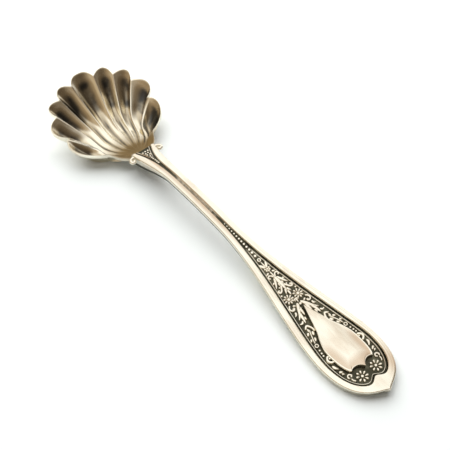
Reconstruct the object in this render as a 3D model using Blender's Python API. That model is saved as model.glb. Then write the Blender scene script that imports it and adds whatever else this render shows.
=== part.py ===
"""Demitasse spoon with a scallop shell bowl. Metres, +Z up, +X from the terminal towards the bowl.

The origin lies under the middle of the spoon's length, on the surface that the spoon rests on.
"""
import math

import bmesh
import bpy
from mathutils import Matrix, Vector

# Handle, measured along from the tip of the terminal
HANDLE_LENGTH = 0.0831
TERMINAL_WIDTH = 0.0150
TERMINAL_END = 0.0120
TERMINAL_TAPER = 0.0400
STEM_WIDTH = 0.0038
ROOT_WIDTH = 0.0066
ROOT_FLARE = 0.0130
TERMINAL_THICKNESS = 0.0019
STEM_THICKNESS = 0.0020
STEM_RISE = 0.0047
ARCH_START = 0.0100
ARCH_LENGTH = 0.0560
TIP_UPTURN = 0.00045
TIP_UPTURN_LENGTH = 0.0080
TIP_POINT = 0.0012
TIP_POINT_SPREAD = math.radians(9)
TERMINAL_SQUARENESS = 2.3
TAPER_EASE = 0.85
ROOT_FLARE_EASE = 1.5
ROOT_DEPTH = 0.0034
ROOT_DROP_LENGTH = 0.0140
ROOT_TOP_HEIGHT = 0.0054
EDGE_ROUND = 0.00045

# Sunk panel on the handle's face
PANEL_WIDTH = 0.0120
PANEL_END_REACH = 0.0090
PANEL_CUSP = 0.0013
PANEL_DEPTH = 0.00065
STEM_PANEL_DEPTH = 0.00035
DEPTH_FADE_START = 0.0380
DEPTH_FADE_LENGTH = 0.0200
PANEL_TAPER = 0.0450
CHANNEL_WIDTH = 0.0005
CHANNEL_ROOT_WIDTH = 0.0046
PANEL_WALL = 0.00025
PANEL_SQUARENESS = 2.4
PANEL_CUSP_SPREAD = math.radians(9)
CHANNEL_EASE = 0.75
CHANNEL_FLARE_EASE = 3.5

# Shield plate that stands in the panel
SHIELD_TOP = 0.0253
SHIELD_SHOULDER = 0.0126
SHIELD_WIDTH = 0.0082
SHIELD_FOOT = 0.0078
SHIELD_FOOT_WIDTH = 0.0058
SHIELD_THICKNESS = 0.00045
SHIELD_DOME = 0.00015
DAISY_ALONG = 0.0060
DAISY_ACROSS = 0.00195
SHIELD_SCALLOP = 0.00215

# Shell bowl
BOWL_LENGTH = 0.0275
BOWL_WIDTH = 0.0295
UMBO_SETBACK = 0.0010
RIM_HEIGHT_ROOT = 0.0039
RIM_HEIGHT_TIP = 0.0118
FLOOR_HEIGHT = 0.0009
UMBO_HEIGHT = 0.0033
HEEL_LENGTH = 0.0075
BOWL_WALL = 0.0009
FLUTE_DEPTH = 0.0010
FLUTE_START = 0.0058
FLUTE_RISE = 0.0040
RIPPLE_SHARE = 0.32
LOBE_BULGE = 0.0029
LOBE_LEAN = 0.0024
LOBE_ROUNDNESS = 0.72
HINGE_ANGLE = math.radians(70)

# Profile of the bowl, as shares of the way from the umbo to the rim
WALL_START_SHARE = 0.44
WALL_POWER = 1.55
CUP_START_SHARE = 0.48
CUP_RISE_SHARE = 0.28
CREST_POWER = 1.5
RIM_FADE_POWER = 8
RIM_THICKENING_RATIO = 0.35

# Soldered root
SEAT_GAP = 0.00025
SOLDER_FILM = 0.0003
TONGUE_LENGTH = 0.0030
TONGUE_WIDTH = 0.0052
TONGUE_THICKNESS = 0.0007
TONGUE_END_RATIO = 0.05
SCROLL_TURN_RADIUS = 0.0006
SCROLL_WIRE = 0.0007
SCROLL_HEIGHT = 0.0046
SCROLL_SETBACK = 0.0013
SCROLL_START = math.radians(200)
SCROLL_END = math.radians(480)
SCROLL_CLOSING_RATIO = 0.8
SCROLL_THINNING_RATIO = 0.7
SOLDER_WIDTH_SHARE = 0.8
SOLDER_SETBACK = 0.0010

# Mesh steps
TIP_ROWS = 12
SIDE_ROWS = 30
TONGUE_ROWS = 6
LOBE_STEPS = 6
HINGE_STEPS = 7
BOWL_ROWS = 11
WIRE_SIDES = 8
SCROLL_STEPS = 16
SHIELD_STEPS = 8
SOLDER_STEPS = 8
SMOOTH_ANGLE = math.radians(35)
MERGE = 1e-7

# Ridges between the flutes, as degrees from the bowl's axis about the umbo
RIDGE_ANGLES = (8.5, 21.4, 32.5, 45.0, 63.1)
# For each flute from the middle outwards: swell past the ridges at the rim, depth, and lean away from
# the bowl's axis at the rim, each as a share of its driving size; below 1 a skew draws its middle inwards
LOBE_SWELLS = (1.0, 0.52, 0.52, 0.62, 0.45)
LOBE_DEPTHS = (1.0, 1.0, 1.0, 1.1, 2.0)
LOBE_LEANS = (0.0, 0.29, 0.67, 1.0, 0.80)
LOBE_SKEWS = (1.0, 1.0, 1.0, 1.0, 0.62)
# Reach of the rim's ridges from the umbo, as (degrees, share of the forward reach)
RIM_FAN = ((-8.5, 0.931), (0.0, 0.891), (8.5, 0.931), (21.4, 0.922), (32.5, 0.867), (45.0, 0.700),
           (55.4, 0.508), (63.1, 0.322), (75.0, 0.223), (91.0, 0.165), (110.6, 0.107), (180.0, 0.038))
# How the ridges bend on their way to the rim, as (share of the way, ratio of the angle at the rim)
RIDGE_BEND = ((0.0, 1.3), (0.35, 1.12), (0.6, 0.88), (0.8, 0.92), (1.0, 1.0))
BEND_FADE_START = math.radians(50)
BEND_FADE_END = math.radians(90)

# The shield's long sides from its point to its shoulders, as (share of the length, share of the half width)
SHIELD_SIDE = ((0, 0), (0.18, 0.19), (0.34, 0.36), (0.5, 0.53), (0.65, 0.77), (0.81, 0.955),
               (0.93, 1), (1, 1))

# Sections as (share of the half width, share of the thickness), from the top's middle round to the foot's
TONGUE_SECTION = ((0, 1), (0.4, 1), (0.6, 1), (0.85, 1), (1, 0.5), (0.9, 0.2), (0.6, 0), (0, 0))
PLATE_SECTION = ((0, 1), (0.55, 1), (1, 1), (1, 0), (0.55, 0), (0, 0))

TIP_X = -(HANDLE_LENGTH + SEAT_GAP + BOWL_LENGTH) / 2
HINGE_X = TIP_X + HANDLE_LENGTH + SEAT_GAP
UMBO_X = HINGE_X + UMBO_SETBACK
FORWARD_REACH = BOWL_LENGTH - UMBO_SETBACK
LAP = 2 * SEAT_GAP + SOLDER_FILM


def smooth(t):
    """Eases from 0 to 1, flat at both ends."""
    t = min(1.0, max(0.0, t))
    return t * t * (3 - 2 * t)


def between(a, b, t):
    return a + (b - a) * t


def through(points, at):
    """A smooth curve through (position, value) points, read at one position."""
    index = 0
    while index < len(points) - 2 and at > points[index + 1][0]:
        index += 1
    (x0, y0), (x1, y1) = points[index], points[index + 1]
    before = points[max(0, index - 1)]
    after = points[min(len(points) - 1, index + 2)]
    slope0 = (y1 - before[1]) / (x1 - before[0])
    slope1 = (after[1] - y0) / (after[0] - x0)
    step = x1 - x0
    t = (at - x0) / step
    return ((2 * t**3 - 3 * t**2 + 1) * y0 + (t**3 - 2 * t**2 + t) * step * slope0
            + (3 * t**2 - 2 * t**3) * y1 + (t**3 - t**2) * step * slope1)


def oval(reach, half, power, angle):
    """Radius of a squarish oval, at an angle from its long axis."""
    return ((math.cos(angle) / reach) ** power + (math.sin(angle) / half) ** power) ** (-1 / power)


# Handle outline and heights

def outline_half(along, angle):
    """Half width of the handle, or its reach about the terminal's centre where the end is round."""
    if along <= TERMINAL_END:
        blunt = oval(TERMINAL_END - TIP_POINT, TERMINAL_WIDTH / 2, TERMINAL_SQUARENESS, angle)
        return blunt + TIP_POINT * math.exp(-angle / TIP_POINT_SPREAD)
    taper = 1 - smooth(((along - TERMINAL_END) / TERMINAL_TAPER) ** TAPER_EASE)
    flare = max(0.0, 1 - (HANDLE_LENGTH - along) / ROOT_FLARE) ** ROOT_FLARE_EASE
    return (STEM_WIDTH + (TERMINAL_WIDTH - STEM_WIDTH) * taper + (ROOT_WIDTH - STEM_WIDTH) * flare) / 2


def panel_half(along, angle):
    """Half width of the sunk panel, or its reach about the terminal's centre at the lobed end."""
    if along <= TERMINAL_END:
        notch = PANEL_CUSP * math.exp(-(angle / PANEL_CUSP_SPREAD) ** 2)
        return oval(PANEL_END_REACH, PANEL_WIDTH / 2, PANEL_SQUARENESS, angle) - notch
    taper = 1 - smooth(((along - TERMINAL_END) / PANEL_TAPER) ** CHANNEL_EASE)
    flare = max(0.0, 1 - (HANDLE_LENGTH - along) / ROOT_FLARE) ** CHANNEL_FLARE_EASE
    return (CHANNEL_WIDTH + (PANEL_WIDTH - CHANNEL_WIDTH) * taper
            + (CHANNEL_ROOT_WIDTH - CHANNEL_WIDTH) * flare) / 2


def arch_height(along):
    """Height of the handle's back before the root: flat under the terminal, arched under the stem."""
    upturn = TIP_UPTURN * max(0.0, 1 - along / TIP_UPTURN_LENGTH) ** 2
    return STEM_RISE * smooth((along - ARCH_START) / ARCH_LENGTH) + upturn


def root_share(along):
    """0 along the stem, rising to 1 where the handle meets the bowl."""
    return smooth(1 - (HANDLE_LENGTH - along) / ROOT_DROP_LENGTH)


def back_height(along):
    """Height of the handle's back, which drops to meet the bowl's heel at the root."""
    return between(arch_height(along), ROOT_TOP_HEIGHT - ROOT_DEPTH, root_share(along))


def face_height(along):
    """Height of the raised rims on the handle's face."""
    slim = smooth((along - ARCH_START) / ARCH_LENGTH)
    face = arch_height(along) + between(TERMINAL_THICKNESS, STEM_THICKNESS, slim)
    return between(face, ROOT_TOP_HEIGHT, root_share(along))


def panel_height(along):
    """Height of the sunk panel's ground, which grows shallow along the stem."""
    fade = smooth((along - DEPTH_FADE_START) / DEPTH_FADE_LENGTH)
    return face_height(along) - between(PANEL_DEPTH, STEM_PANEL_DEPTH, fade)


# Bowl surface

def rim_reach(angle):
    """Reach of the rim's ridge line from the umbo, with a straight hinge against the handle."""
    reach = through(RIM_FAN, math.degrees(angle)) * FORWARD_REACH
    back = math.pi - angle
    if back < HINGE_ANGLE:
        reach = min(reach, UMBO_SETBACK / math.cos(back))
    return reach


def flute(angle):
    """The flute at an angle: its number or None, and 0 on its ridges rising to 1 in its middle."""
    edges = (-RIDGE_ANGLES[0],) + RIDGE_ANGLES
    degrees = math.degrees(angle)
    for index, (low, high) in enumerate(zip(edges, edges[1:])):
        if low <= degrees <= high:
            across = ((degrees - low) / (high - low)) ** LOBE_SKEWS[index]
            return index, max(0.0, math.sin(math.pi * across)) ** LOBE_ROUNDNESS
    return None, 0.0


def lobed_reach(angle):
    """Reach of the rim from the umbo, with the swell of each flute."""
    index, middle = flute(angle)
    if index is None:
        return rim_reach(angle)
    return rim_reach(angle) + LOBE_BULGE * LOBE_SWELLS[index] * middle


def bowl_plan(angle, share):
    """Place along and across from the umbo, before the width is set, with the flutes' bend and lean."""
    reach = lobed_reach(angle) * share
    index, middle = flute(angle)
    lean = 0.0 if index is None else LOBE_LEAN * LOBE_LEANS[index] * middle * share**2
    faded = smooth((angle - BEND_FADE_START) / (BEND_FADE_END - BEND_FADE_START))
    turn = angle * between(through(RIDGE_BEND, share), 1.0, faded)
    return (reach * math.cos(turn) - lean * math.sin(turn),
            reach * math.sin(turn) + lean * math.cos(turn))


NATURAL_HALF_WIDTH = max(bowl_plan(math.radians(a), 1.0)[1] for a in range(0, 180))
SPREAD = BOWL_WIDTH / 2 / NATURAL_HALF_WIDTH


def bowl_height(angle, share):
    """Height of the bowl's inside at a share of the way from the umbo to the rim."""
    reach = lobed_reach(angle)
    along = UMBO_SETBACK + reach * math.cos(angle)
    rim = between(RIM_HEIGHT_ROOT, RIM_HEIGHT_TIP, max(0.0, along / BOWL_LENGTH) ** 2)
    place = UMBO_SETBACK + reach * share * math.cos(angle)
    floor = between(UMBO_HEIGHT, FLOOR_HEIGHT, smooth(place / HEEL_LENGTH))
    wall = max(0.0, (share - WALL_START_SHARE) / (1 - WALL_START_SHARE)) ** WALL_POWER
    dish = between(floor, rim, wall)
    index, middle = flute(angle)
    if index is None:
        return dish
    ripple = RIPPLE_SHARE * smooth((place - FLUTE_START) / FLUTE_RISE)
    cup = LOBE_DEPTHS[index] * smooth((share - CUP_START_SHARE) / CUP_RISE_SHARE)
    return dish - FLUTE_DEPTH * max(ripple, cup) * middle**CREST_POWER * (1 - share**RIM_FADE_POWER)


def bowl_point(angle, share, under):
    """A point on the bowl's inside, or under it on the outside, which rests flat where it is lowest."""
    side = 1 if angle >= 0 else -1
    turn = abs(angle)
    along, across = bowl_plan(turn, share)
    height = bowl_height(turn, share)
    if under:
        height = max(0.0, height - BOWL_WALL * (1 + RIM_THICKENING_RATIO * share**2))
    return Vector((UMBO_X + along, side * SPREAD * across, height))


def heel_height(x, y):
    """Height of the bowl's outside above a place near the hinge."""
    dx, dy = x - UMBO_X, abs(y) / SPREAD
    turn = math.atan2(dy, dx)
    share = min(1.0, math.hypot(dx, dy) / lobed_reach(turn))
    return bowl_point(turn, share, True).z


# Mesh helpers

def finish(name, bm, colour, roughness):
    """Welds and closes a mesh, and makes it a named object with its own metal."""
    bmesh.ops.remove_doubles(bm, verts=bm.verts[:], dist=MERGE)
    open_edges = [e for e in bm.edges if e.is_boundary]
    if open_edges:
        bmesh.ops.holes_fill(bm, edges=open_edges, sides=0)
    bmesh.ops.recalc_face_normals(bm, faces=bm.faces[:])
    bmesh.ops.triangulate(bm, faces=bm.faces[:])
    mesh = bpy.data.meshes.new(name)
    bm.to_mesh(mesh)
    bm.free()
    mesh.shade_smooth()
    mesh.set_sharp_from_angle(angle=SMOOTH_ANGLE)
    metal = bpy.data.materials.new(name)
    metal.use_nodes = True
    shader = metal.node_tree.nodes["Principled BSDF"]
    shader.inputs["Base Color"].default_value = (*colour, 1.0)
    shader.inputs["Roughness"].default_value = roughness
    shader.inputs["Metallic"].default_value = 1.0
    mesh.materials.append(metal)
    piece = bpy.data.objects.new(name, mesh)
    bpy.context.scene.collection.objects.link(piece)
    return piece


def lofted(rows):
    """A grid of faces whose vertices lie on the given rows of points."""
    bm = bmesh.new()
    columns = len(rows[0])
    bmesh.ops.create_grid(bm, x_segments=columns - 1, y_segments=len(rows) - 1, size=1.0)
    places = {}
    for vertex in bm.verts:
        column = round((vertex.co.x + 1) / 2 * (columns - 1))
        row = round((vertex.co.y + 1) / 2 * (len(rows) - 1))
        places[vertex] = rows[row][column]
    for vertex, place in places.items():
        vertex.co = place
    return bm


def lofted_both_sides(rows):
    """A loft of the half at +Y, joined to its mirror image."""
    bm = lofted(rows)
    bmesh.ops.mirror(bm, geom=bm.verts[:] + bm.edges[:] + bm.faces[:], matrix=Matrix.Identity(4),
                     merge_dist=MERGE, axis="Y")
    return bm


# Pieces

def handle_row(centre, angle):
    """Half a section of the handle, from the panel's middle over the rim and round to the back."""
    half = outline_half(centre, angle)
    panel = panel_half(centre, angle)
    spine = centre
    if centre <= TERMINAL_END:
        spine = TERMINAL_END - panel_half(TERMINAL_END, 0.0) * math.cos(angle)

    def at(reach, height_of, lift):
        along = centre - reach * math.cos(angle)
        return Vector((TIP_X + along, reach * math.sin(angle), height_of(along) + lift))

    return [
        Vector((TIP_X + spine, 0, panel_height(spine))),
        at(panel, panel_height, 0),
        at(panel + PANEL_WALL, face_height, 0),
        at(half - EDGE_ROUND, face_height, 0),
        at(half, face_height, -EDGE_ROUND),
        at(half - EDGE_ROUND / 3, back_height, EDGE_ROUND),
        at(half - 2 * EDGE_ROUND, back_height, 0),
        Vector((TIP_X + spine, 0, back_height(spine))),
    ]


def tongue_row(step):
    """Half a section of the tongue that runs on from the root under the bowl's heel."""
    share = step / TONGUE_ROWS
    x = TIP_X + HANDLE_LENGTH + TONGUE_LENGTH * share
    half = TONGUE_WIDTH / 2 * math.sqrt(max(TONGUE_END_RATIO, 1 - share**2))
    top = heel_height(max(x, HINGE_X), 0) - LAP
    back = top - TONGUE_THICKNESS
    if step == 0:
        back = max(back, back_height(HANDLE_LENGTH) + EDGE_ROUND / 2)
    return [Vector((x, half * out, between(back, top, up))) for out, up in TONGUE_SECTION]


def make_handle():
    rows = []
    for step in range(TIP_ROWS):
        rows.append(handle_row(TERMINAL_END, math.radians(90) * step / TIP_ROWS))
    for step in range(SIDE_ROWS + 1):
        along = between(TERMINAL_END, HANDLE_LENGTH, step / SIDE_ROWS)
        rows.append(handle_row(along, math.radians(90)))
    for step in range(TONGUE_ROWS + 1):
        rows.append(tongue_row(step))
    return finish("handle", lofted_both_sides(rows), (0.80, 0.78, 0.73), 0.22)


def shield_edge():
    """The shield's half outline as (along, across, place of the same row on the axis)."""
    points = []
    for step in range(SHIELD_STEPS):
        t = step / SHIELD_STEPS
        points.append((between(SHIELD_TOP, SHIELD_SHOULDER, t), SHIELD_WIDTH / 2 * through(SHIELD_SIDE, t)))
    for step in range(SHIELD_STEPS):
        turn = math.radians(90) * step / SHIELD_STEPS
        along = SHIELD_SHOULDER - (SHIELD_SHOULDER - SHIELD_FOOT) * math.sin(turn)
        points.append((along, between(SHIELD_FOOT_WIDTH, SHIELD_WIDTH, math.cos(turn)) / 2))
    first = math.atan2(SHIELD_FOOT - DAISY_ALONG, SHIELD_FOOT_WIDTH / 2 - DAISY_ACROSS)
    last = math.pi - math.acos(min(1.0, DAISY_ACROSS / SHIELD_SCALLOP))
    for step in range(SHIELD_STEPS + 1):
        turn = between(first, last, step / SHIELD_STEPS)
        points.append((DAISY_ALONG + SHIELD_SCALLOP * math.sin(turn),
                       max(0.0, DAISY_ACROSS + SHIELD_SCALLOP * math.cos(turn))))
    points[-1] = (points[-1][0], 0.0)
    end = points[-1][0]
    rows = []
    for index, (along, across) in enumerate(points):
        spine = between(SHIELD_TOP, end, index / (len(points) - 1))
        rows.append((along, across, spine))
    return rows


def make_shield_plate():
    rows = []
    for along, across, spine in shield_edge():
        row = []
        for share, lift in PLATE_SECTION:
            a = between(spine, along, share)
            dome = SHIELD_DOME * (1 - share**2) * min(1.0, across / SHIELD_FOOT_WIDTH * 2)
            height = panel_height(a) + SEAT_GAP + lift * (SHIELD_THICKNESS + dome)
            row.append(Vector((TIP_X + a, across * share, height)))
        rows.append(row)
    return finish("shield_plate", lofted_both_sides(rows), (0.82, 0.72, 0.56), 0.2)


def bowl_angles():
    """Degrees round the bowl: even steps across each flute, then round the hinge."""
    edges = (0.0,) + RIDGE_ANGLES
    half = []
    for index, (low, high) in enumerate(zip(edges, edges[1:])):
        steps = LOBE_STEPS // 2 if index == 0 else LOBE_STEPS
        half += [between(low, high, step / steps) for step in range(steps)]
    half += [between(edges[-1], 180.0, step / HINGE_STEPS) for step in range(HINGE_STEPS)]
    return [-a for a in reversed(half[1:])] + half


def make_shell_bowl():
    turns = [math.radians(a) for a in bowl_angles()]
    turns = [-math.pi] + turns + [math.pi]
    shares = [step / BOWL_ROWS for step in range(BOWL_ROWS + 1)]
    rows = [[bowl_point(turn, share, False) for turn in turns] for share in shares]
    rows += [[bowl_point(turn, share, True) for turn in turns] for share in reversed(shares)]
    return finish("shell_bowl", lofted(rows), (0.72, 0.56, 0.33), 0.2)


def make_solder_joint():
    rows = []
    for step in range(SOLDER_STEPS + 1):
        reach = between(SEAT_GAP, TONGUE_LENGTH - SOLDER_SETBACK, step / SOLDER_STEPS)
        x = HINGE_X + reach
        share = reach / TONGUE_LENGTH
        half = TONGUE_WIDTH / 2 * SOLDER_WIDTH_SHARE * math.sqrt(1 - share**2)
        top = heel_height(x, 0) - SEAT_GAP
        rows.append([Vector((x, half * out, top - (1 - up) * SOLDER_FILM)) for out, up in PLATE_SECTION])
    return finish("solder_joint", lofted_both_sides(rows), (0.66, 0.64, 0.60), 0.4)


def make_root_scroll(name, side):
    """A wire that leaves the root's side and curls back on itself."""
    wire = SCROLL_WIRE / 2
    across = ROOT_WIDTH / 2 + SEAT_GAP + SCROLL_TURN_RADIUS + wire
    centre = Vector((TIP_X + HANDLE_LENGTH - SCROLL_SETBACK, side * across, SCROLL_HEIGHT))
    rows = []
    for step in range(SCROLL_STEPS + 1):
        share = step / SCROLL_STEPS
        turn = between(SCROLL_START, SCROLL_END, share)
        radius = SCROLL_TURN_RADIUS * between(1.0, SCROLL_CLOSING_RATIO, share)
        outward = Vector((math.cos(turn), side * math.sin(turn), 0))
        thin = wire * between(1.0, SCROLL_THINNING_RATIO, share)
        ring = []
        for index in range(WIRE_SIDES + 1):
            round_wire = 2 * math.pi * index / WIRE_SIDES
            ring.append(centre + outward * (radius + thin * math.cos(round_wire))
                        + Vector((0, 0, thin * math.sin(round_wire))))
        rows.append(ring)
    return finish(name, lofted(rows), (0.82, 0.80, 0.75), 0.22)


def main():
    for leftover in list(bpy.data.objects):
        bpy.data.objects.remove(leftover)
    make_shell_bowl()
    make_handle()
    make_shield_plate()
    make_solder_joint()
    make_root_scroll("root_scroll_left", 1)
    make_root_scroll("root_scroll_right", -1)


main()
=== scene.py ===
"""Demitasse spoon with a scallop shell bowl: its finished surfaces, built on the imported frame.

Metres, +Z up, +X from the terminal's tip towards the bowl. The ornament is laid out in millimetres, along the
handle from its tip and across from its middle line.
"""
import math
import random

import bmesh
import bpy
from bpy.props import FloatProperty, FloatVectorProperty, PointerProperty
from mathutils import Matrix, Vector


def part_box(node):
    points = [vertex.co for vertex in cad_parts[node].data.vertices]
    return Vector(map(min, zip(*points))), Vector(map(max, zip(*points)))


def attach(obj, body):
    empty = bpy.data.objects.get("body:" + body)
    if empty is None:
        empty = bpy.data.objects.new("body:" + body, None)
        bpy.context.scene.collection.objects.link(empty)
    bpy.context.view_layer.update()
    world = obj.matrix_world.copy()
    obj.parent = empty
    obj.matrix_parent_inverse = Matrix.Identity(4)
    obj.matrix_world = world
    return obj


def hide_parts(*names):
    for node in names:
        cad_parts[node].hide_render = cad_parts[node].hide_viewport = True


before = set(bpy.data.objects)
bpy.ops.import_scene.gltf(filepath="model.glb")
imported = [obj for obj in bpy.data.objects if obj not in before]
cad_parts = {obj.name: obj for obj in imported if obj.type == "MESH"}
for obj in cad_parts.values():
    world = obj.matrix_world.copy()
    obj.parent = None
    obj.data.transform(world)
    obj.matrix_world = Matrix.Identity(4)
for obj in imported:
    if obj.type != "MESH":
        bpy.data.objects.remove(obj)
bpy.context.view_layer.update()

bl_info = {
    "name": "Shell bowl spoon",
    "version": (1, 0, 0),
    "blender": (4, 5, 0),
    "location": "View3D > Sidebar > Spoon",
    "description": "Builds the finished surfaces of a demitasse spoon on its packed frame",
    "category": "Add Mesh",
}

MM = 0.001
HANDLE_LOW, HANDLE_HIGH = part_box("handle")
BOWL_LOW, BOWL_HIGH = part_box("shell_bowl")

# Handle, measured along from the tip of the terminal
TIP_X = HANDLE_LOW[0]
HANDLE_LENGTH = 0.0831
TERMINAL_WIDTH = HANDLE_HIGH[1] - HANDLE_LOW[1]
TERMINAL_END = 0.0120
TERMINAL_TAPER = 0.0400
STEM_WIDTH = 0.0038
ROOT_WIDTH = 0.0066
ROOT_FLARE = 0.0130
TERMINAL_THICKNESS = 0.0019
STEM_THICKNESS = 0.0020
STEM_RISE = 0.0047
ARCH_START = 0.0100
ARCH_LENGTH = 0.0560
TIP_UPTURN = 0.00045
TIP_UPTURN_LENGTH = 0.0080
TIP_POINT = 0.0012
TIP_POINT_SPREAD = math.radians(9)
TERMINAL_SQUARENESS = 2.3
TAPER_EASE = 0.85
ROOT_FLARE_EASE = 1.5
ROOT_DEPTH = 0.0034
ROOT_DROP_LENGTH = 0.0140
ROOT_TOP_HEIGHT = 0.0054

# Sunk panel on the handle's face
PANEL_WIDTH = 0.0120
PANEL_END_REACH = 0.0090
PANEL_CUSP = 0.0013
PANEL_DEPTH = 0.00065
STEM_PANEL_DEPTH = 0.00035
DEPTH_FADE = (0.0380, 0.0580)
PANEL_TAPER = 0.0420
CHANNEL_WIDTH = 0.0005
CHANNEL_ROOT_WIDTH = 0.0046
PANEL_SQUARENESS = 2.4
PANEL_CUSP_SPREAD = math.radians(9)
CHANNEL_EASE = 0.75
CHANNEL_FLARE_EASE = 3.5

# Oxide on the handle, 1 where it is full: worn in the stem's channel and dark at the root; under the stem the
# same dark colour is painted shade on the lower edges
STEM_OXIDE = 0.58
STEM_WORN = (0.0480, 0.0580)
ROOT_DARK = (0.0680, 0.0760)
# Painted shade: the oxide's dark colour laid on the lower side and the back's edge under the stem
UNDER_PAINTED_SHADE = 0.9
UNDER_SHADE_SPAN = (0.0300, 0.0500)
TONGUE_OXIDE = 0.4

# Section of the handle, from the panel's middle outwards
GROUND_SHARES = (0.0, 0.15, 0.3, 0.45, 0.6, 0.75, 0.9)
THREAD_STEPS = 6
THREAD_RUBBED = 1.1
MOAT_WIDTH_SHARE = 0.8
MOAT = ((0.72, -0.06 * MM), (0.30, -0.06 * MM), (0.05, 0.04 * MM))
RIM_EDGE = ((0.05 * MM, 0.45 * MM, 0.9), (0.11 * MM, 0.22 * MM, 0.55), (0.18 * MM, 0.08 * MM, 0.2),
            (0.27 * MM, 0.02 * MM, 0.0))
RIM_STEPS = 10
CROWN_SHARE = 0.75
CUT_LINE = ((-0.14 * MM, 0.0), (-0.07 * MM, 0.1), (0.0, 1.0), (0.07 * MM, 0.1), (0.14 * MM, 0.0))
EDGE_START = 0.2 * MM
EDGE_STEPS = 8
SIDE_SHARES = (0.2, 0.4, 0.6, 0.8)
SIDE_CURVE = 1.5
SIDE_SHADE_SHARE = 0.7
BACK_ROUND_STEPS = 5
BACK_SHARES = (0.75, 0.5, 0.25, 0.0)

# Shield plate
SHIELD_TOP = 0.0253
SHIELD_SHOULDER = 0.0126
SHIELD_HALF = 0.0041
SHIELD_FOOT = 0.0078
SHIELD_FOOT_HALF = 0.00290
SHIELD_LIFT = 0.00055
SHIELD_DOME = 0.00042
SHIELD_SIDE = ((0, 0), (0.18, 0.19), (0.34, 0.36), (0.5, 0.53), (0.65, 0.77), (0.81, 0.955),
               (0.93, 1), (1, 1))
SCALLOP_ALONG = 0.0060
SCALLOP_ACROSS = 0.00195
SCALLOP_REACH = 0.00215

# Shell bowl
BOWL_LENGTH = 0.0275
BOWL_WIDTH = BOWL_HIGH[1] - BOWL_LOW[1]
HINGE_X = BOWL_LOW[0]
UMBO_SETBACK = 0.0010
UMBO_X = HINGE_X + UMBO_SETBACK
FORWARD_REACH = BOWL_LENGTH - UMBO_SETBACK
RIM_HEIGHT_ROOT = 0.0039
RIM_HEIGHT_TIP = 0.0118
FLOOR_HEIGHT = 0.0009
UMBO_HEIGHT = 0.0033
HEEL_LENGTH = 0.0075
BOWL_WALL = 0.0009
FLUTE_DEPTH = 0.0010
FLUTE_START = 0.0058
FLUTE_RISE = 0.0040
RIPPLE_SHARE = 0.32
CUP_START_SHARE = 0.48
CUP_RISE_SHARE = 0.28
CREST_POWER = 1.5
LOBE_BULGE = 0.0029
LOBE_LEAN = 0.0024
LOBE_ROUNDNESS = 0.72
HINGE_ANGLE = math.radians(70)
WALL_START_SHARE = 0.44
WALL_POWER = 1.55
RIM_THICKENING_RATIO = 0.35
RIM_FADE_POWER = 8
RIDGE_ANGLES = (8.5, 21.4, 32.5, 45.0, 63.1)
LOBE_SWELLS = (1.0, 0.52, 0.52, 0.62, 0.45)
LOBE_DEPTHS = (1.0, 1.0, 1.0, 1.1, 2.0)
LOBE_LEANS = (0.0, 0.29, 0.67, 1.0, 0.80)
LOBE_SKEWS = (1.0, 1.0, 1.0, 1.0, 0.62)
RIM_FAN = ((-8.5, 0.931), (0.0, 0.891), (8.5, 0.931), (21.4, 0.922), (32.5, 0.867), (45.0, 0.700),
           (55.4, 0.508), (63.1, 0.322), (75.0, 0.223), (91.0, 0.165), (110.6, 0.107), (180.0, 0.038))
RIDGE_BEND = ((0.0, 1.3), (0.35, 1.12), (0.6, 0.88), (0.8, 0.92), (1.0, 1.0))
BEND_FADE = (math.radians(50), math.radians(90))
AURICLE = (63.1, 89.0)
AURICLE_SWELL = 0.0004

# Soldered root
SEAT_GAP = 0.00025
SOLDER_FILM = 0.0003
LAP = 2 * SEAT_GAP + SOLDER_FILM
TONGUE_LENGTH = 0.0030
TONGUE_WIDTH = 0.0052
TONGUE_THICKNESS = 0.0007
TONGUE_END = 0.02
TONGUE_SQUARENESS = 0.6
SOLDER_SPAN = (0.04, 0.76)
SOLDER_WIDTH_SHARE = 0.8
SCROLL_HEIGHT = 0.0047
SCROLL_WIRES = (0.00100, 0.00078)
SCROLL_PATH = ((82.3, 2.6), (82.45, 3.4), (82.2, 4.1), (81.75, 4.5), (81.25, 4.35), (81.1, 3.85), (81.5, 3.6),
               (81.75, 3.9))

# Warmer places, each from none to full: painted warm shade on the stem's near rim, a warmer far side at the
# tip and toning on the shield; then how much of the toning each metal takes
# Painted shade: a warm tan band on the stem's channel and near rim, in the toning colour
STEM_RIM_SHADE_SPAN = (TIP_X + 0.0360, TIP_X + 0.0540)
NEAR_RIM_SHADE_BAND = ((-0.0007, -0.0001), (0.0019, 0.0007))
# The tip is made warmer on its far side
TIP_WARM_SPAN = (TIP_X + 0.0120, TIP_X + 0.0035)
FAR_SIDE_WARM_SPAN = (-0.0005, -0.0062)
SHIELD_LOWER = (TIP_X + 0.0180, TIP_X + 0.0125)
SHIELD_FLANK = (0.0010, 0.0032)
SHIELD_TOE = (TIP_X + 0.0112, TIP_X + 0.0086)
PATCHY_TONE_AND_SHADE = (0.75, 1.0)
HANDLE_TONING = (0.0, 0.30)
SHIELD_TONING = (0.05, 0.45)
RELIEF_TONING = (0.05, 0.22)
OUTSIDE_TONING = (0.0, 0.6)

# Grain of the finishes, per metre, and the ranges of noise that show
TONING_GRAIN = (90.0, 240.0, 130.0)
TONING_SEEN = (0.38, 0.68)
RUBBING_GRAIN = (500.0, 2600.0, 2600.0)
RUBBING_SEEN = (0.3, 0.75)
DENT_GRAIN = 900.0
SPECKLE_GRAIN = 1500.0
SPECKLE = 0.5
OXIDE_SEEN = (0.35, 0.75)
OXIDE_WEAR_GRAIN = 420.0
OXIDE_WEAR_SEEN = (0.45, 0.8)
OXIDE_WORN = 3.0
OXIDE_ROUGHNESS = 0.22
SILVER_POLISH = (0.8, 1.5)
SILVER_DENTS = 0.01 * MM
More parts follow.
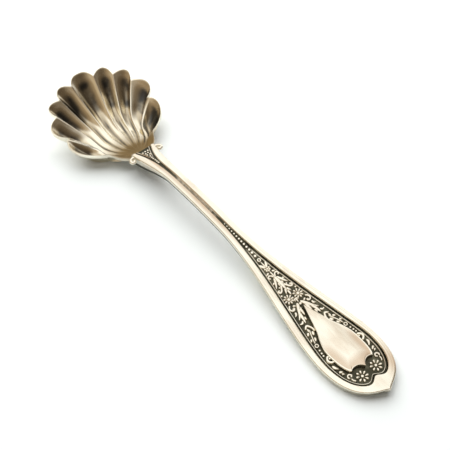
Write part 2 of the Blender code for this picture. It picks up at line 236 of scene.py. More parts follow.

# Gold wash: deep round the umbo and, where the bowl's mask passes 1, valleys browned with painted shade and
# cups darkened by tarnish and a painted dark reflection
DEEP_WASH = (0.0115, 0.0050)
DEEP_ROUGHNESS = 0.20
SHADED_VALLEY_MASK = (1.0, 1.45)
VALLEY_PAINTED_SHADE = (0.0, 0.60)
CUP_TARNISH_AND_SHADE_MASK = (1.35, 1.95)
PATCH_GRAIN = 260.0
PATCH_SEEN = (0.35, 0.60)
PATCH_STRENGTH = (0.55, 1.0)
GILT_POLISH = (1.0, 1.5)
GILT_DENTS = 0.004 * MM
SOLDER_DULL = 0.6
SOLDER_ROUGHNESS = 0.42
SOLDER_DENTS = 0.02 * MM

# Mesh steps
TIP_ROWS = 90
TIP_ROW_EASE = 1.4
SIDE_ROWS = 260
TONGUE_ROWS = 16
LOBE_STEPS = 30
HINGE_STEPS = 60
INSIDE_ROWS = 80
LIP_ROWS = 8
OUTSIDE_ROWS = 50
STROKE_STEPS = 14
STROKE_SIDES = 10
SECTION_TURNS = [2 * math.pi * side / STROKE_SIDES for side in range(STROKE_SIDES + 1)]
DOT_SEGMENTS = (14, 8)
MERGE = 1e-7

# Leaves and tendrils at +Y on the panel, in mm: (along, across) paths with a width, mirrored to -Y
LEAVES = (
    (((26.9, 0.35), (26.2, 0.75), (25.3, 1.30), (24.2, 2.00), (23.2, 3.10)), 0.66),
    (((26.0, 0.75), (25.2, 0.90), (24.4, 0.95), (23.5, 1.10)), 0.60),
    (((24.9, 1.50), (23.9, 1.85), (22.9, 2.05), (21.9, 2.30)), 0.58),
    (((22.9, 2.45), (22.35, 2.95), (22.6, 3.60)), 0.40),
    (((23.4, 1.35), (22.8, 1.60), (22.4, 1.35)), 0.36),
    (((19.9, 2.45), (19.3, 2.75), (18.8, 2.95)), 0.52),
    (((20.1, 3.45), (19.7, 3.80), (19.4, 4.15)), 0.46),
    (((18.5, 3.10), (18.0, 3.35), (17.5, 3.65)), 0.42),
    (((18.6, 4.00), (18.2, 4.30), (17.9, 4.55)), 0.36),
    (((20.9, 3.05), (20.3, 3.15), (19.9, 3.10)), 0.34),
    (((11.5, 4.95), (10.7, 4.90), (9.9, 4.30)), 0.50),
    (((9.5, 5.00), (9.2, 4.60), (8.9, 4.10)), 0.44),
    (((8.8, 4.85), (8.6, 4.55), (8.4, 4.20)), 0.30),
    (((34.5, 0.30), (33.5, 0.75), (32.6, 1.20), (31.8, 1.80)), 0.48),
    (((31.0, 0.15), (30.4, 0.40), (29.7, 0.85)), 0.46),
    (((33.0, 0.45), (32.4, 0.50), (32.0, 0.70)), 0.34),
    (((36.1, 0.45), (35.75, 0.85), (35.8, 1.35)), 0.40),
    (((33.5, 1.10), (33.2, 1.40), (33.1, 1.72)), 0.38),
    (((37.2, 0.15), (38.0, 0.60), (38.9, 1.05)), 0.56),
    (((26.75, 1.85), (26.5, 1.45), (26.35, 1.05)), 0.36),
    (((25.4, 2.40), (24.75, 2.55), (24.4, 3.10)), 0.40),
    (((27.9, 0.10), (27.6, 0.35), (27.1, 0.55)), 0.30),
)
TENDRILS = (
    (((20.6, 2.75), (19.4, 3.30), (18.2, 3.80), (17.1, 4.15)), 0.22),
    (((19.3, 2.10), (20.3, 2.00), (21.2, 2.40), (21.4, 2.80), (20.75, 3.60)), 0.42),
    (((27.3, 2.05), (26.9, 2.55), (26.4, 2.85), (25.85, 2.60), (25.75, 2.15), (26.1, 1.88), (26.35, 2.15)),
     0.34),
    (((6.9, 4.05), (7.3, 4.42), (7.75, 4.20), (7.80, 3.75), (7.4, 3.48), (7.15, 3.70)), 0.30),
    (((5.8, 3.65), (6.3, 4.00), (6.9, 4.05)), 0.24),
    (((32.3, 0.20), (31.4, 0.75), (30.75, 1.25), (30.65, 1.72), (31.05, 1.92), (31.35, 1.60)), 0.42),
    (((34.2, 0.15), (34.9, 0.40), (35.25, 0.85), (35.1, 1.28), (34.7, 1.38), (34.5, 1.12)), 0.36),
)
SPINE_LEAVES = (
    (((35.0, 0.0), (33.2, 0.0), (31.8, 0.0), (30.4, 0.0)), 0.80),
    (((30.4, 0.0), (29.6, 0.0), (28.9, 0.0)), 0.46),
    (((28.1, 0.0), (27.4, 0.0), (26.6, 0.0)), 0.34),
    (((34.4, 0.0), (35.4, 0.0), (36.4, 0.0)), 0.32),
    (((37.3, 0.0), (38.3, 0.0), (39.4, 0.0)), 0.26),
)

# Beads and rings in mm: along, across, radius and, for a ring, the width of its wire
SIDE_DOTS = ((14.15, 4.72, 0.22), (14.8, 4.62, 0.23), (15.55, 4.46, 0.23), (31.75, 1.02, 0.20),
             (31.2, 1.62, 0.24), (29.95, 2.02, 0.24), (34.62, 1.18, 0.22), (26.1, 2.15, 0.20),
             (7.2, 3.68, 0.20))
SPINE_BEAD = (26.2, 0.0, 0.32)
EAR_BEAD = (12.85, 4.28, 0.22)
RING = (16.7, 4.20, 0.36, 0.24)
ROSETTE = (39.65, 0.0, 0.34, 0.30)
BEAD_COUNT = 13
BEADS_FROM, BEADS_TO = 40.95, 51.5
BEAD_RADII = (0.36, 0.15)
BEAD_SPACING = 0.92

# Scroll ears on the shield's sides, in mm; BARE marks metal without toning
EARS = ((11.75, 3.95), (11.9, 4.60), (12.5, 5.00), (13.1, 4.75), (13.6, 3.95))
EAR_WIDTH = 0.52
BARE = -1.0

# Flowers in mm: along, across, radius of the heart, petals from and to, their width and number
LOWER_DAISY = (5.85, 1.95, 0.32, 0.42, 1.42, 0.46, 8)
UPPER_DAISY = (28.4, 1.34, 0.38, 0.20, 1.30, 0.42, 9)
STEM_FLOWER = (36.9, 0.0, 0.22, 0.06, 0.86, 0.50, 7)

# Stipple at the root in mm: its start, its steps along and across, its margins to the bowl and the rims
STIPPLE_FROM = 76.5
STIPPLE_STEPS = (0.68, 0.72)
STIPPLE_MARGINS = (0.5, 0.75)
STIPPLE_RADIUS = 0.25
STIPPLE_SHAKE = 0.05
STIPPLE_SEED = 4

# How far each relief spreads past its drawn width, and its share of the full relief
LEAF_SPREAD = 1.3
SPINE_SPREAD = 1.2
TENDRIL_SPREAD = 1.2
LEAF_RELIEF = 0.9
TENDRIL_RELIEF = 0.85
DOT_RELIEF = 0.7
RING_RELIEF = 0.8
HEART_RELIEF = 0.8
BEAD_RELIEF = (1.0, 0.7)
EAR_RELIEF = 1.15
LEAF_SHAPE = (0.8, 0.7)
PETAL_SHAPE = (1.8, 0.6)
WIRE_END = 0.1
RELIEF_FLATNESS = 5
RELIEF_SHALLOWNESS = 3


# Settings a user would change

class SpoonSizes(bpy.types.PropertyGroup):
    """Sizes of the fine detail."""
    thread_inset: FloatProperty(
        name="Thread inset", description="Distance of the thread from the panel's edge",
        default=0.00046, unit="LENGTH")
    thread_width: FloatProperty(
        name="Thread width", description="Width of the raised thread round the panel",
        default=0.00026, unit="LENGTH")
    thread_height: FloatProperty(
        name="Thread height", description="Height of the thread above the panel's ground",
        default=0.00030, unit="LENGTH")
    rim_crown: FloatProperty(
        name="Rim crown", description="Rise of the handle's rims between their edges",
        default=0.00004, unit="LENGTH")
    edge_round: FloatProperty(
        name="Edge round", description="Radius of the handle's outer edge on its face",
        default=0.00030, unit="LENGTH")
    back_round: FloatProperty(
        name="Back round", description="Radius of the handle's edge on its back",
        default=0.00080, unit="LENGTH")
    undercut: FloatProperty(
        name="Undercut", description="Distance that the handle's sides lean in from face to back",
        default=0.00012, unit="LENGTH")
    line_inset: FloatProperty(
        name="Line inset", description="Distance of the cut line from the handle's outer edge",
        default=0.00072, unit="LENGTH")
    line_depth: FloatProperty(
        name="Line depth", description="Depth of the cut line on the rims",
        default=0.00002, unit="LENGTH")
    relief: FloatProperty(
        name="Relief", description="Height of the leaves and flowers above the ground",
        default=0.00040, unit="LENGTH")
    ridge_round: FloatProperty(
        name="Ridge rounding", description="Softness of the ridges between the flutes",
        default=0.10, min=0.0, max=1.0)
    lip: FloatProperty(
        name="Lip", description="Width of the bowl's rounded lip", default=0.00050, unit="LENGTH")


class SpoonFinish(bpy.types.PropertyGroup):
    """Colours of the metals."""
    silver: FloatVectorProperty(
        name="Silver", description="Polished silver", subtype="COLOR", default=(0.92, 0.88, 0.76))
    # The toning colour is also painted as warm shade along the stem's near rim.
    toning: FloatVectorProperty(
        name="Toning", description="Warm tarnish on the silver", subtype="COLOR", default=(0.60, 0.46, 0.33))
    # The oxide colour is also painted as shade under the stem's lower edges.
    oxide: FloatVectorProperty(
        name="Oxide", description="Darkened silver in the hollows", subtype="COLOR",
        default=(0.062, 0.059, 0.040))
    gilt: FloatVectorProperty(
        name="Gilt", description="Gold wash inside the bowl", subtype="COLOR", default=(0.92, 0.86, 0.71))
    # Deep gilt is also the painted brown shade in the flutes' valleys.
    gilt_deep: FloatVectorProperty(
        name="Deep gilt", description="Gold wash round the umbo and in the flutes' valleys", subtype="COLOR",
        default=(0.31, 0.215, 0.095))
    # The tarnish colour also paints the dark reflection into the flutes' cups.
    tarnish: FloatVectorProperty(
        name="Tarnish", description="Grey tarnish in the flutes' cups", subtype="COLOR",
        default=(0.066, 0.065, 0.062))
    solder: FloatVectorProperty(
        name="Solder", description="Solder in the joint", subtype="COLOR", default=(0.60, 0.58, 0.54))
    roughness: FloatProperty(
        name="Roughness", description="Roughness of the polished metal", default=0.17, min=0.0, max=1.0)


class SpoonStage(bpy.types.PropertyGroup):
    """Light, floor and camera."""
    key_radiance: FloatProperty(
        name="Key radiance", description="Brightness of the soft box that casts the shadows", default=3.05)
    key_elevation: FloatProperty(
        name="Key elevation", description="Height of the soft box above the floor", subtype="ANGLE",
        default=math.radians(47))
    far_light: FloatProperty(
        name="Far light", description="Brightness of the room in the metal's reflections", default=1.12)
    fill_light: FloatProperty(
        name="Fill light", description="Brightness of the room as it lights the floor", default=0.08)
    floor: FloatVectorProperty(
        name="Floor", description="Colour of the floor", subtype="COLOR", default=(0.93, 0.96, 0.94))
    floor_lift: FloatProperty(
        name="Floor lift", description="Light added to the floor as the camera sees it", default=0.05)
    lens: FloatProperty(
        name="Lens", description="Focal length in millimetres", default=64.0)


# Curves

def smooth(t):
    """Eases from 0 to 1, flat at both ends."""
    t = min(1.0, max(0.0, t))
    return t * t * (3 - 2 * t)


def between(a, b, t):
    """The value at a share of the way from a to b."""
    return a + (b - a) * t


def risen(value, span):
    """Eases from 0 to 1 as a value passes over a span."""
    low, high = span
    return smooth((value - low) / (high - low))


def through(points, at):
    """A smooth curve through (position, value) points, read at one position."""
    index = 0
    while index < len(points) - 2 and at > points[index + 1][0]:
        index += 1
    (x0, y0), (x1, y1) = points[index], points[index + 1]
    before = points[max(0, index - 1)]
    after = points[min(len(points) - 1, index + 2)]
    slope0 = (y1 - before[1]) / (x1 - before[0])
    slope1 = (after[1] - y0) / (after[0] - x0)
    step = x1 - x0
    t = (at - x0) / step
    return ((2 * t**3 - 3 * t**2 + 1) * y0 + (t**3 - 2 * t**2 + t) * step * slope0
            + (3 * t**2 - 2 * t**3) * y1 + (t**3 - t**2) * step * slope1)


def oval(reach, half, power, angle):
    """Radius of a squarish oval, at an angle from its long axis."""
    return ((math.cos(angle) / reach) ** power + (math.sin(angle) / half) ** power) ** (-1 / power)


def spline(path, steps):
    """Points along a smooth curve through the path's points."""
    spans = len(path) - 1
    along = [(index, point[0]) for index, point in enumerate(path)]
    across = [(index, point[1]) for index, point in enumerate(path)]
    places = [spans * step / steps for step in range(steps + 1)]
    return [(through(along, place), through(across, place)) for place in places]


# Handle outline and heights

def outline_half(along, angle):
    """Half width of the handle, or its reach about the terminal's centre where the end is round."""
    if along <= TERMINAL_END:
        blunt = oval(TERMINAL_END - TIP_POINT, TERMINAL_WIDTH / 2, TERMINAL_SQUARENESS, angle)
        return blunt + TIP_POINT * math.exp(-angle / TIP_POINT_SPREAD)
    taper = 1 - smooth(((along - TERMINAL_END) / TERMINAL_TAPER) ** TAPER_EASE)
    flare = max(0.0, 1 - (HANDLE_LENGTH - along) / ROOT_FLARE) ** ROOT_FLARE_EASE
    return (STEM_WIDTH + (TERMINAL_WIDTH - STEM_WIDTH) * taper + (ROOT_WIDTH - STEM_WIDTH) * flare) / 2


def panel_half(along, angle):
    """Half width of the sunk panel, or its reach about the terminal's centre at the lobed end."""
    if along <= TERMINAL_END:
        notch = PANEL_CUSP * math.exp(-(angle / PANEL_CUSP_SPREAD) ** 2)
        return oval(PANEL_END_REACH, PANEL_WIDTH / 2, PANEL_SQUARENESS, angle) - notch
    taper = 1 - smooth(((along - TERMINAL_END) / PANEL_TAPER) ** CHANNEL_EASE)
    flare = max(0.0, 1 - (HANDLE_LENGTH - along) / ROOT_FLARE) ** CHANNEL_FLARE_EASE
    return (CHANNEL_WIDTH + (PANEL_WIDTH - CHANNEL_WIDTH) * taper
            + (CHANNEL_ROOT_WIDTH - CHANNEL_WIDTH) * flare) / 2


def arch_height(along):
    """Height of the handle's back before the root: flat under the terminal, arched under the stem."""
    upturn = TIP_UPTURN * max(0.0, 1 - along / TIP_UPTURN_LENGTH) ** 2
    return STEM_RISE * smooth((along - ARCH_START) / ARCH_LENGTH) + upturn


def root_share(along):
    """0 along the stem, rising to 1 where the handle meets the bowl."""
    return smooth(1 - (HANDLE_LENGTH - along) / ROOT_DROP_LENGTH)


def back_height(along):
    """Height of the handle's back, which drops to meet the bowl's heel at the root."""
    return between(arch_height(along), ROOT_TOP_HEIGHT - ROOT_DEPTH, root_share(along))


def face_height(along):
    """Height of the raised rims on the handle's face."""
    slim = smooth((along - ARCH_START) / ARCH_LENGTH)
    face = arch_height(along) + between(TERMINAL_THICKNESS, STEM_THICKNESS, slim)
    return between(face, ROOT_TOP_HEIGHT, root_share(along))


def panel_height(along):
    """Height of the sunk panel's ground, which grows shallow along the stem."""
    return face_height(along) - between(PANEL_DEPTH, STEM_PANEL_DEPTH, risen(along, DEPTH_FADE))


def on_panel(along, across, lift):
    """A point above the sunk panel's ground."""
    return Vector((TIP_X + along, across, panel_height(along) + lift))


# Bowl surface

def rim_reach(angle):
    """Reach of the rim's ridge line from the umbo, with a straight hinge against the handle."""
    reach = through(RIM_FAN, math.degrees(angle)) * FORWARD_REACH
    back = math.pi - angle
    if back < HINGE_ANGLE:
        reach = min(reach, UMBO_SETBACK / math.cos(back))
    return reach


def flute(angle, soft):
    """The flute at an angle: its number or None, and 0 on its ridges rising to 1 in its middle."""
    edges = (-RIDGE_ANGLES[0],) + RIDGE_ANGLES
    degrees = math.degrees(angle)
    for index, (low, high) in enumerate(zip(edges, edges[1:])):
        if low <= degrees <= high:
            across = ((degrees - low) / (high - low)) ** LOBE_SKEWS[index]
            wave = max(0.0, math.sin(math.pi * across)) ** LOBE_ROUNDNESS
            return index, (math.hypot(wave, soft) - soft) / (math.hypot(1, soft) - soft)
    return None, 0.0


def auricle(angle):
    """Swell of the plain wing beyond the last flute."""
    low, high = AURICLE
    degrees = math.degrees(angle)
    if low <= degrees <= high:
        return AURICLE_SWELL * math.sin(math.pi * (degrees - low) / (high - low))
    return 0.0


def lobed_reach(angle, soft):
    """Reach of the rim from the umbo, with the swell of each flute and of the wings."""
    index, middle = flute(angle, soft)
    if index is None:
        return rim_reach(angle) + auricle(angle)
    return rim_reach(angle) + LOBE_BULGE * LOBE_SWELLS[index] * middle


def bowl_plan(angle, share, soft):
    """Place along and across from the umbo, before the width is set, with the flutes' bend and lean."""
    reach = lobed_reach(angle, soft) * share
    index, middle = flute(angle, soft)
    lean = 0.0 if index is None else LOBE_LEAN * LOBE_LEANS[index] * middle * share**2
    turn = angle * between(through(RIDGE_BEND, share), 1.0, risen(angle, BEND_FADE))
    return (reach * math.cos(turn) - lean * math.sin(turn),
            reach * math.sin(turn) + lean * math.cos(turn))


SPREAD = BOWL_WIDTH / 2 / max(bowl_plan(math.radians(a), 1.0, 0.0)[1] for a in range(180))


def bowl_height(angle, share, soft):
    """Height of the bowl's inside at a share of the way from the umbo to the rim."""
    reach = lobed_reach(angle, soft)
    along = UMBO_SETBACK + reach * math.cos(angle)
    rim = between(RIM_HEIGHT_ROOT, RIM_HEIGHT_TIP, max(0.0, along / BOWL_LENGTH) ** 2)
    place = UMBO_SETBACK + reach * share * math.cos(angle)
    floor = between(UMBO_HEIGHT, FLOOR_HEIGHT, smooth(place / HEEL_LENGTH))
    wall = max(0.0, (share - WALL_START_SHARE) / (1 - WALL_START_SHARE)) ** WALL_POWER
    dish = between(floor, rim, wall)
    index, middle = flute(angle, soft)
    if index is None:
        return dish
    ripple = RIPPLE_SHARE * smooth((place - FLUTE_START) / FLUTE_RISE)
    cup = LOBE_DEPTHS[index] * smooth((share - CUP_START_SHARE) / CUP_RISE_SHARE)
    return dish - FLUTE_DEPTH * max(ripple, cup) * middle**CREST_POWER * (1 - share**RIM_FADE_POWER)


def bowl_point(angle, share, soft, under=False):
    """A point on the bowl's inside, or under it on the outside, which rests flat where it is lowest."""
    side = 1 if angle >= 0 else -1
    turn = abs(angle)
    along, across = bowl_plan(turn, share, soft)
    height = bowl_height(turn, share, soft)
    if under:
        height = max(0.0, height - BOWL_WALL * (1 + RIM_THICKENING_RATIO * share**2))
    return Vector((UMBO_X + along, side * SPREAD * across, height))


def heel_height(x):
    """Height of the bowl's outside under its heel, on the axis."""
    turn = math.atan2(0.0, x - UMBO_X)
    share = min(1.0, abs(x - UMBO_X) / lobed_reach(turn, 0.0))
    return bowl_point(turn, share, 0.0, under=True).z


# Mesh helpers

def loft(bm, rows, masks=None):
    """Adds a grid of faces whose vertices lie on rows of points, with a mask value for each if given."""
    columns = len(rows[0])
    layer = bm.verts.layers.float.get("mask") or bm.verts.layers.float.new("mask")
    made = bmesh.ops.create_grid(bm, x_segments=columns - 1, y_segments=len(rows) - 1, size=1.0)["verts"]
    places = []
    for vertex in made:
        column = round((vertex.co.x + 1) / 2 * (columns - 1))
        row = round((vertex.co.y + 1) / 2 * (len(rows) - 1))
        places.append((vertex, row, column))
    for vertex, row, column in places:
        vertex.co = rows[row][column]
        if masks:
            vertex[layer] = masks[row][column]


def mirrored(bm):
    """Joins a half at +Y to its mirror image."""
    bmesh.ops.mirror(bm, geom=bm.verts[:] + bm.edges[:] + bm.faces[:], matrix=Matrix.Identity(4),
                     merge_dist=MERGE, axis="Y")


def finish(name, bm, metal, stands_for=()):
    """Welds and closes a mesh and makes it a smooth piece that rides the spoon."""
    bmesh.ops.remove_doubles(bm, verts=bm.verts[:], dist=MERGE)
    bmesh.ops.dissolve_degenerate(bm, edges=bm.edges[:], dist=MERGE)
    open_edges = [edge for edge in bm.edges if edge.is_boundary]
    if open_edges:
        bmesh.ops.holes_fill(bm, edges=open_edges, sides=0)
    bmesh.ops.recalc_face_normals(bm, faces=bm.faces[:])
    mesh = bpy.data.meshes.new(name)
    bm.to_mesh(mesh)
    bm.free()
    mesh.shade_smooth()
    mesh.materials.append(metal)
    piece = bpy.data.objects.new(name, mesh)
    bpy.context.scene.collection.objects.link(piece)
    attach(piece, "root")
    if stands_for:
        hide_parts(*stands_for)


def blade_swell(t, shape):
    """Width of a blade along its length: how far out it is widest, and how full it is."""
    lean, fullness = shape
    return max(0.0, math.sin(math.pi * t**lean)) ** fullness


def leaf_swell(t):
    """Width of a leaf along its length, as a share of its widest."""
    return blade_swell(t, LEAF_SHAPE)


def petal_swell(t):
    """Width of a petal along its length, widest towards its outer end."""
    return blade_swell(t, PETAL_SHAPE)


def wire_swell(t):
    """Width of a tendril along its length: even, with rounded ends."""
    return min(1.0, math.sqrt(min(t, 1 - t) / WIRE_END))


def rounded(rise):
    """Height over a relief's section: full and flat on top, shallow below."""
    return 1 - (1 - rise) ** RELIEF_FLATNESS if rise > 0 else rise / RELIEF_SHALLOWNESS


def stroke(bm, path, width, height, swell):
    """A raised leaf, petal or tendril that follows a path over the panel, in mm."""
    points = spline(path, STROKE_STEPS)
    rows = []
    for index, (along, across) in enumerate(points):
        before = points[max(0, index - 1)]
        after = points[min(STROKE_STEPS, index + 1)]
        run = Vector((after[0] - before[0], after[1] - before[1])).normalized()
        size = swell(index / STROKE_STEPS)
        section = []
        for turn in SECTION_TURNS:
            offset = math.cos(turn) * width / 2 * size
            lift = rounded(math.sin(turn)) * math.sqrt(size) * height
            section.append(on_panel((along - run.y * offset) * MM, (across + run.x * offset) * MM, lift))
        rows.append(section)
    loft(bm, rows)


def dot(bm, along, across, radius, height):
    """A raised bead on the panel, in mm across."""
    around, down = DOT_SEGMENTS
    made = bmesh.ops.create_uvsphere(bm, u_segments=around, v_segments=down, radius=1.0)["verts"]
    for vertex in made:
        lift = rounded(vertex.co.z) * height
        vertex.co = on_panel((along + vertex.co.x * radius) * MM, (across + vertex.co.y * radius) * MM, lift)


def ring(bm, along, across, radius, wire, height):
    """A raised ring on the panel, in mm across."""
    rows = []
    for step in range(2 * STROKE_STEPS + 1):
        turn = math.pi * step / STROKE_STEPS
        section = []
        for bend in SECTION_TURNS:
            reach = radius + math.cos(bend) * wire / 2
            lift = rounded(math.sin(bend)) * height
            section.append(on_panel((along + reach * math.cos(turn)) * MM,
                                    (across + reach * math.sin(turn)) * MM, lift))
        rows.append(section)
    loft(bm, rows)


def flower(bm, along, across, heart, inner, outer, width, petals, height):
    """A ring of petals about a bead, in mm."""
    for index in range(petals):
        turn = 2 * math.pi * (index + 0.5) / petals
        path = [(along + reach * math.cos(turn), across + reach * math.sin(turn))
                for reach in (inner, between(inner, outer, 0.5), outer)]
        stroke(bm, path, width, height, petal_swell)
    dot(bm, along, across, heart, height * HEART_RELIEF)


def both_sides(path):
    """A path and its mirror image across the handle's middle line."""
    return path, tuple((along, -across) for along, across in path)


# Material helpers

def add(tree, kind, **settings):
    """Adds a shader node and sets its properties."""
    node = tree.nodes.new("ShaderNode" + kind)
    for name, value in settings.items():
        setattr(node, name, value)
    return node


def noise(tree, vector, scale, detail=3.0):
    """Soft noise over a vector, as a value about a half."""
    node = add(tree, "TexNoise")
    node.inputs["Scale"].default_value = scale
    node.inputs["Detail"].default_value = detail
    tree.links.new(vector, node.inputs["Vector"])
    return node.outputs["Fac"]


def ranged(tree, value, low, high, to_low=0.0, to_high=1.0):
    """Maps a value smoothly from one range to another."""
    node = add(tree, "MapRange", interpolation_type="SMOOTHSTEP")
    node.inputs["From Min"].default_value = low
    node.inputs["From Max"].default_value = high
    node.inputs["To Min"].default_value = to_low
    node.inputs["To Max"].default_value = to_high
    tree.links.new(value, node.inputs["Value"])
    return node.outputs["Result"]


def spread(tree, value, span):
    """Maps a value from 0 to 1 onto a span."""
    return ranged(tree, value, 0.0, 1.0, *span)


def mixed(tree, factor, first, second):
    """Mixes two colours, each a socket or a plain colour."""
    node = add(tree, "Mix", data_type="RGBA")
    tree.links.new(factor, node.inputs["Factor"])
    for socket, colour in ((node.inputs[6], first), (node.inputs[7], second)):
        if isinstance(colour, bpy.types.NodeSocket):
            tree.links.new(colour, socket)
        else:
            socket.default_value = (*colour, 1.0)
    return node.outputs[2]


def math_of(tree, operation, *values):
    """Combines values, each a socket or a plain number."""
    node = add(tree, "Math", operation=operation)
    for socket, value in zip(node.inputs, values):
        if isinstance(value, bpy.types.NodeSocket):
            tree.links.new(value, socket)
        else:
            socket.default_value = value
    return node.outputs["Value"]


def parts_of(tree, vector):
    """A vector's X, Y and Z."""
    node = add(tree, "SeparateXYZ")
    tree.links.new(vector, node.inputs["Vector"])
    return node.outputs


def length_of(tree, vector):
    """A vector's length."""
    node = add(tree, "VectorMath", operation="LENGTH")
    tree.links.new(vector, node.inputs[0])
    return node.outputs["Value"]


def measured_from(tree, vector, place):
    """A vector measured from a place."""
    node = add(tree, "VectorMath", operation="SUBTRACT")
    node.inputs[1].default_value = place
    tree.links.new(vector, node.inputs[0])
    return node.outputs["Vector"]


def stretched(tree, vector, scale):
    """A vector scaled along each axis."""
    node = add(tree, "Mapping")
    node.inputs["Scale"].default_value = scale
    tree.links.new(vector, node.inputs["Vector"])
    return node.outputs["Vector"]


def turned(tree, vector, angle):
    """A vector turned about Z."""
    node = add(tree, "Mapping")
    node.inputs["Rotation"].default_value = (0, 0, angle)
    tree.links.new(vector, node.inputs["Vector"])
    return node.outputs["Vector"]


def new_group(name, inputs, outputs):
    """A shader node group with named sockets, and its input and output nodes."""
    group = bpy.data.node_groups.new(name, "ShaderNodeTree")
    for direction, sockets in (("INPUT", inputs), ("OUTPUT", outputs)):
        for label, kind in sockets:
            group.interface.new_socket(name=label, in_out=direction, socket_type="NodeSocket" + kind)
    return group, group.nodes.new("NodeGroupInput"), group.nodes.new("NodeGroupOutput")


def make_wear_group():
    """Group: patchy toning, rubbing marks and fine dents that all the metals share."""
    group, start, end = new_group(
        "Metal wear", [("Vector", "Vector")], [("Toning", "Float"), ("Rubbing", "Float"), ("Dents", "Float")])
    place = start.outputs["Vector"]
    broad = noise(group, stretched(group, place, TONING_GRAIN), 1.0)
    group.links.new(ranged(group, broad, *TONING_SEEN), end.inputs["Toning"])
    fine = noise(group, stretched(group, place, RUBBING_GRAIN), 1.0)
    group.links.new(ranged(group, fine, *RUBBING_SEEN), end.inputs["Rubbing"])
    group.links.new(noise(group, place, DENT_GRAIN, detail=2.0), end.inputs["Dents"])


def make_oxide_and_shade_group(oxide):
    """Group: darkens a colour where a mask marks the hollows, with worn edges, and where it marks painted
    shade under the stem.
    """
    group, start, end = new_group(
        "Oxide and painted shade", [("Vector", "Vector"), ("Colour", "Color"), ("Mask", "Float")],
        [("Colour", "Color"), ("Dark", "Float")])
    place = start.outputs["Vector"]
    speckle = noise(group, place, SPECKLE_GRAIN, detail=4.0)
    uneven = math_of(group, "MULTIPLY_ADD", speckle, SPECKLE, -SPECKLE / 2)
    dark = ranged(group, math_of(group, "ADD", start.outputs["Mask"], uneven), *OXIDE_SEEN)
    wear = ranged(group, noise(group, place, OXIDE_WEAR_GRAIN), *OXIDE_WEAR_SEEN)
    worn = mixed(group, wear, oxide, [OXIDE_WORN * part for part in oxide])
    group.links.new(mixed(group, dark, start.outputs["Colour"], worn), end.inputs["Colour"])
    group.links.new(dark, end.inputs["Dark"])


def new_metal(name):
    """A metal material with its tree, shader and object coordinates."""
    material = bpy.data.materials.new(name)
    material.use_nodes = True
    tree = material.node_tree
    shader = tree.nodes["Principled BSDF"]
    shader.inputs["Metallic"].default_value = 1.0
    return material, tree, shader, add(tree, "TexCoord").outputs["Object"]


def use_group(tree, group, vector):
    """Places a node group in a material."""
    node = tree.nodes.new("ShaderNodeGroup")
    node.node_tree = bpy.data.node_groups[group]
    tree.links.new(vector, node.inputs["Vector"])
    return node


def mesh_mask(tree):
    """The mask value that the mesh carries."""
    return add(tree, "Attribute", attribute_name="mask").outputs["Fac"]


def bumped(tree, shader, height, depth):
    """Gives a shader fine relief, as a depth in metres."""
    bump = add(tree, "Bump")
    bump.inputs["Distance"].default_value = depth
    tree.links.new(height, bump.inputs["Height"])
    tree.links.new(bump.outputs["Normal"], shader.inputs["Normal"])


def handle_shade_and_tint(tree, vector):
    """Where the handle is warmer, as a mask: painted warm shade on the stem's channel and near rim, and a
    warmer far side at the tip.
    """
    place = parts_of(tree, vector)
    inner, outer = NEAR_RIM_SHADE_BAND
    rim = math_of(tree, "MULTIPLY", ranged(tree, place["Y"], *inner), ranged(tree, place["Y"], *outer))
    stem = math_of(tree, "MULTIPLY", ranged(tree, place["X"], *STEM_RIM_SHADE_SPAN), rim)
    far = ranged(tree, place["Y"], *FAR_SIDE_WARM_SPAN)
    tip = math_of(tree, "MULTIPLY", ranged(tree, place["X"], *TIP_WARM_SPAN), far)
    return math_of(tree, "MAXIMUM", stem, tip)


def shield_toning(tree, vector):
    """Where the shield is most toned, as a mask: its lower sides and its foot."""
    place = parts_of(tree, vector)
    across = math_of(tree, "ABSOLUTE", place["Y"])
    lower = ranged(tree, place["X"], *SHIELD_LOWER)
    side = math_of(tree, "MULTIPLY", ranged(tree, across, *SHIELD_FLANK), lower)
    return math_of(tree, "MAXIMUM", side, ranged(tree, place["X"], *SHIELD_TOE))


def silver_metal(name, finish_of, toning_range, shaded_and_toned_places=None):
    """Silver with warm toning, more where the places given mark it, which on the handle paints warm shade;
    and oxide where the mesh's mask marks the hollows, which under the stem paints shade.
    """
    if name in bpy.data.materials:
        return bpy.data.materials[name]
    material, tree, shader, vector = new_metal(name)
    wear = use_group(tree, "Metal wear", vector)
    toned = spread(tree, wear.outputs["Toning"], toning_range)
    # Places given add warm colour: painted shade on the stem's near rim, a warmer far side at the tip, toning
    # on the shield
    if shaded_and_toned_places:
        patchy = spread(tree, wear.outputs["Toning"], PATCHY_TONE_AND_SHADE)
        toned = math_of(tree, "MAXIMUM", toned, math_of(tree, "MULTIPLY", shaded_and_toned_places(tree, vector), patchy))
    mask = mesh_mask(tree)
    toned = math_of(tree, "MULTIPLY", toned, ranged(tree, mask, BARE, 0.0))
    oxide = use_group(tree, "Oxide and painted shade", vector)
    tree.links.new(mixed(tree, toned, finish_of.silver, finish_of.toning), oxide.inputs["Colour"])
    tree.links.new(mask, oxide.inputs["Mask"])
    tree.links.new(oxide.outputs["Colour"], shader.inputs["Base Color"])
    polish = spread(tree, wear.outputs["Rubbing"], [finish_of.roughness * share for share in SILVER_POLISH])
    rough = math_of(tree, "MULTIPLY_ADD", oxide.outputs["Dark"], OXIDE_ROUGHNESS, polish)
    tree.links.new(rough, shader.inputs["Roughness"])
    bumped(tree, shader, wear.outputs["Dents"], SILVER_DENTS)
    return material


def relief_metal(context):
    """The silver of the struck relief and the root's scrolls."""
    return silver_metal("Relief silver", context.scene.spoon_finish, RELIEF_TONING)


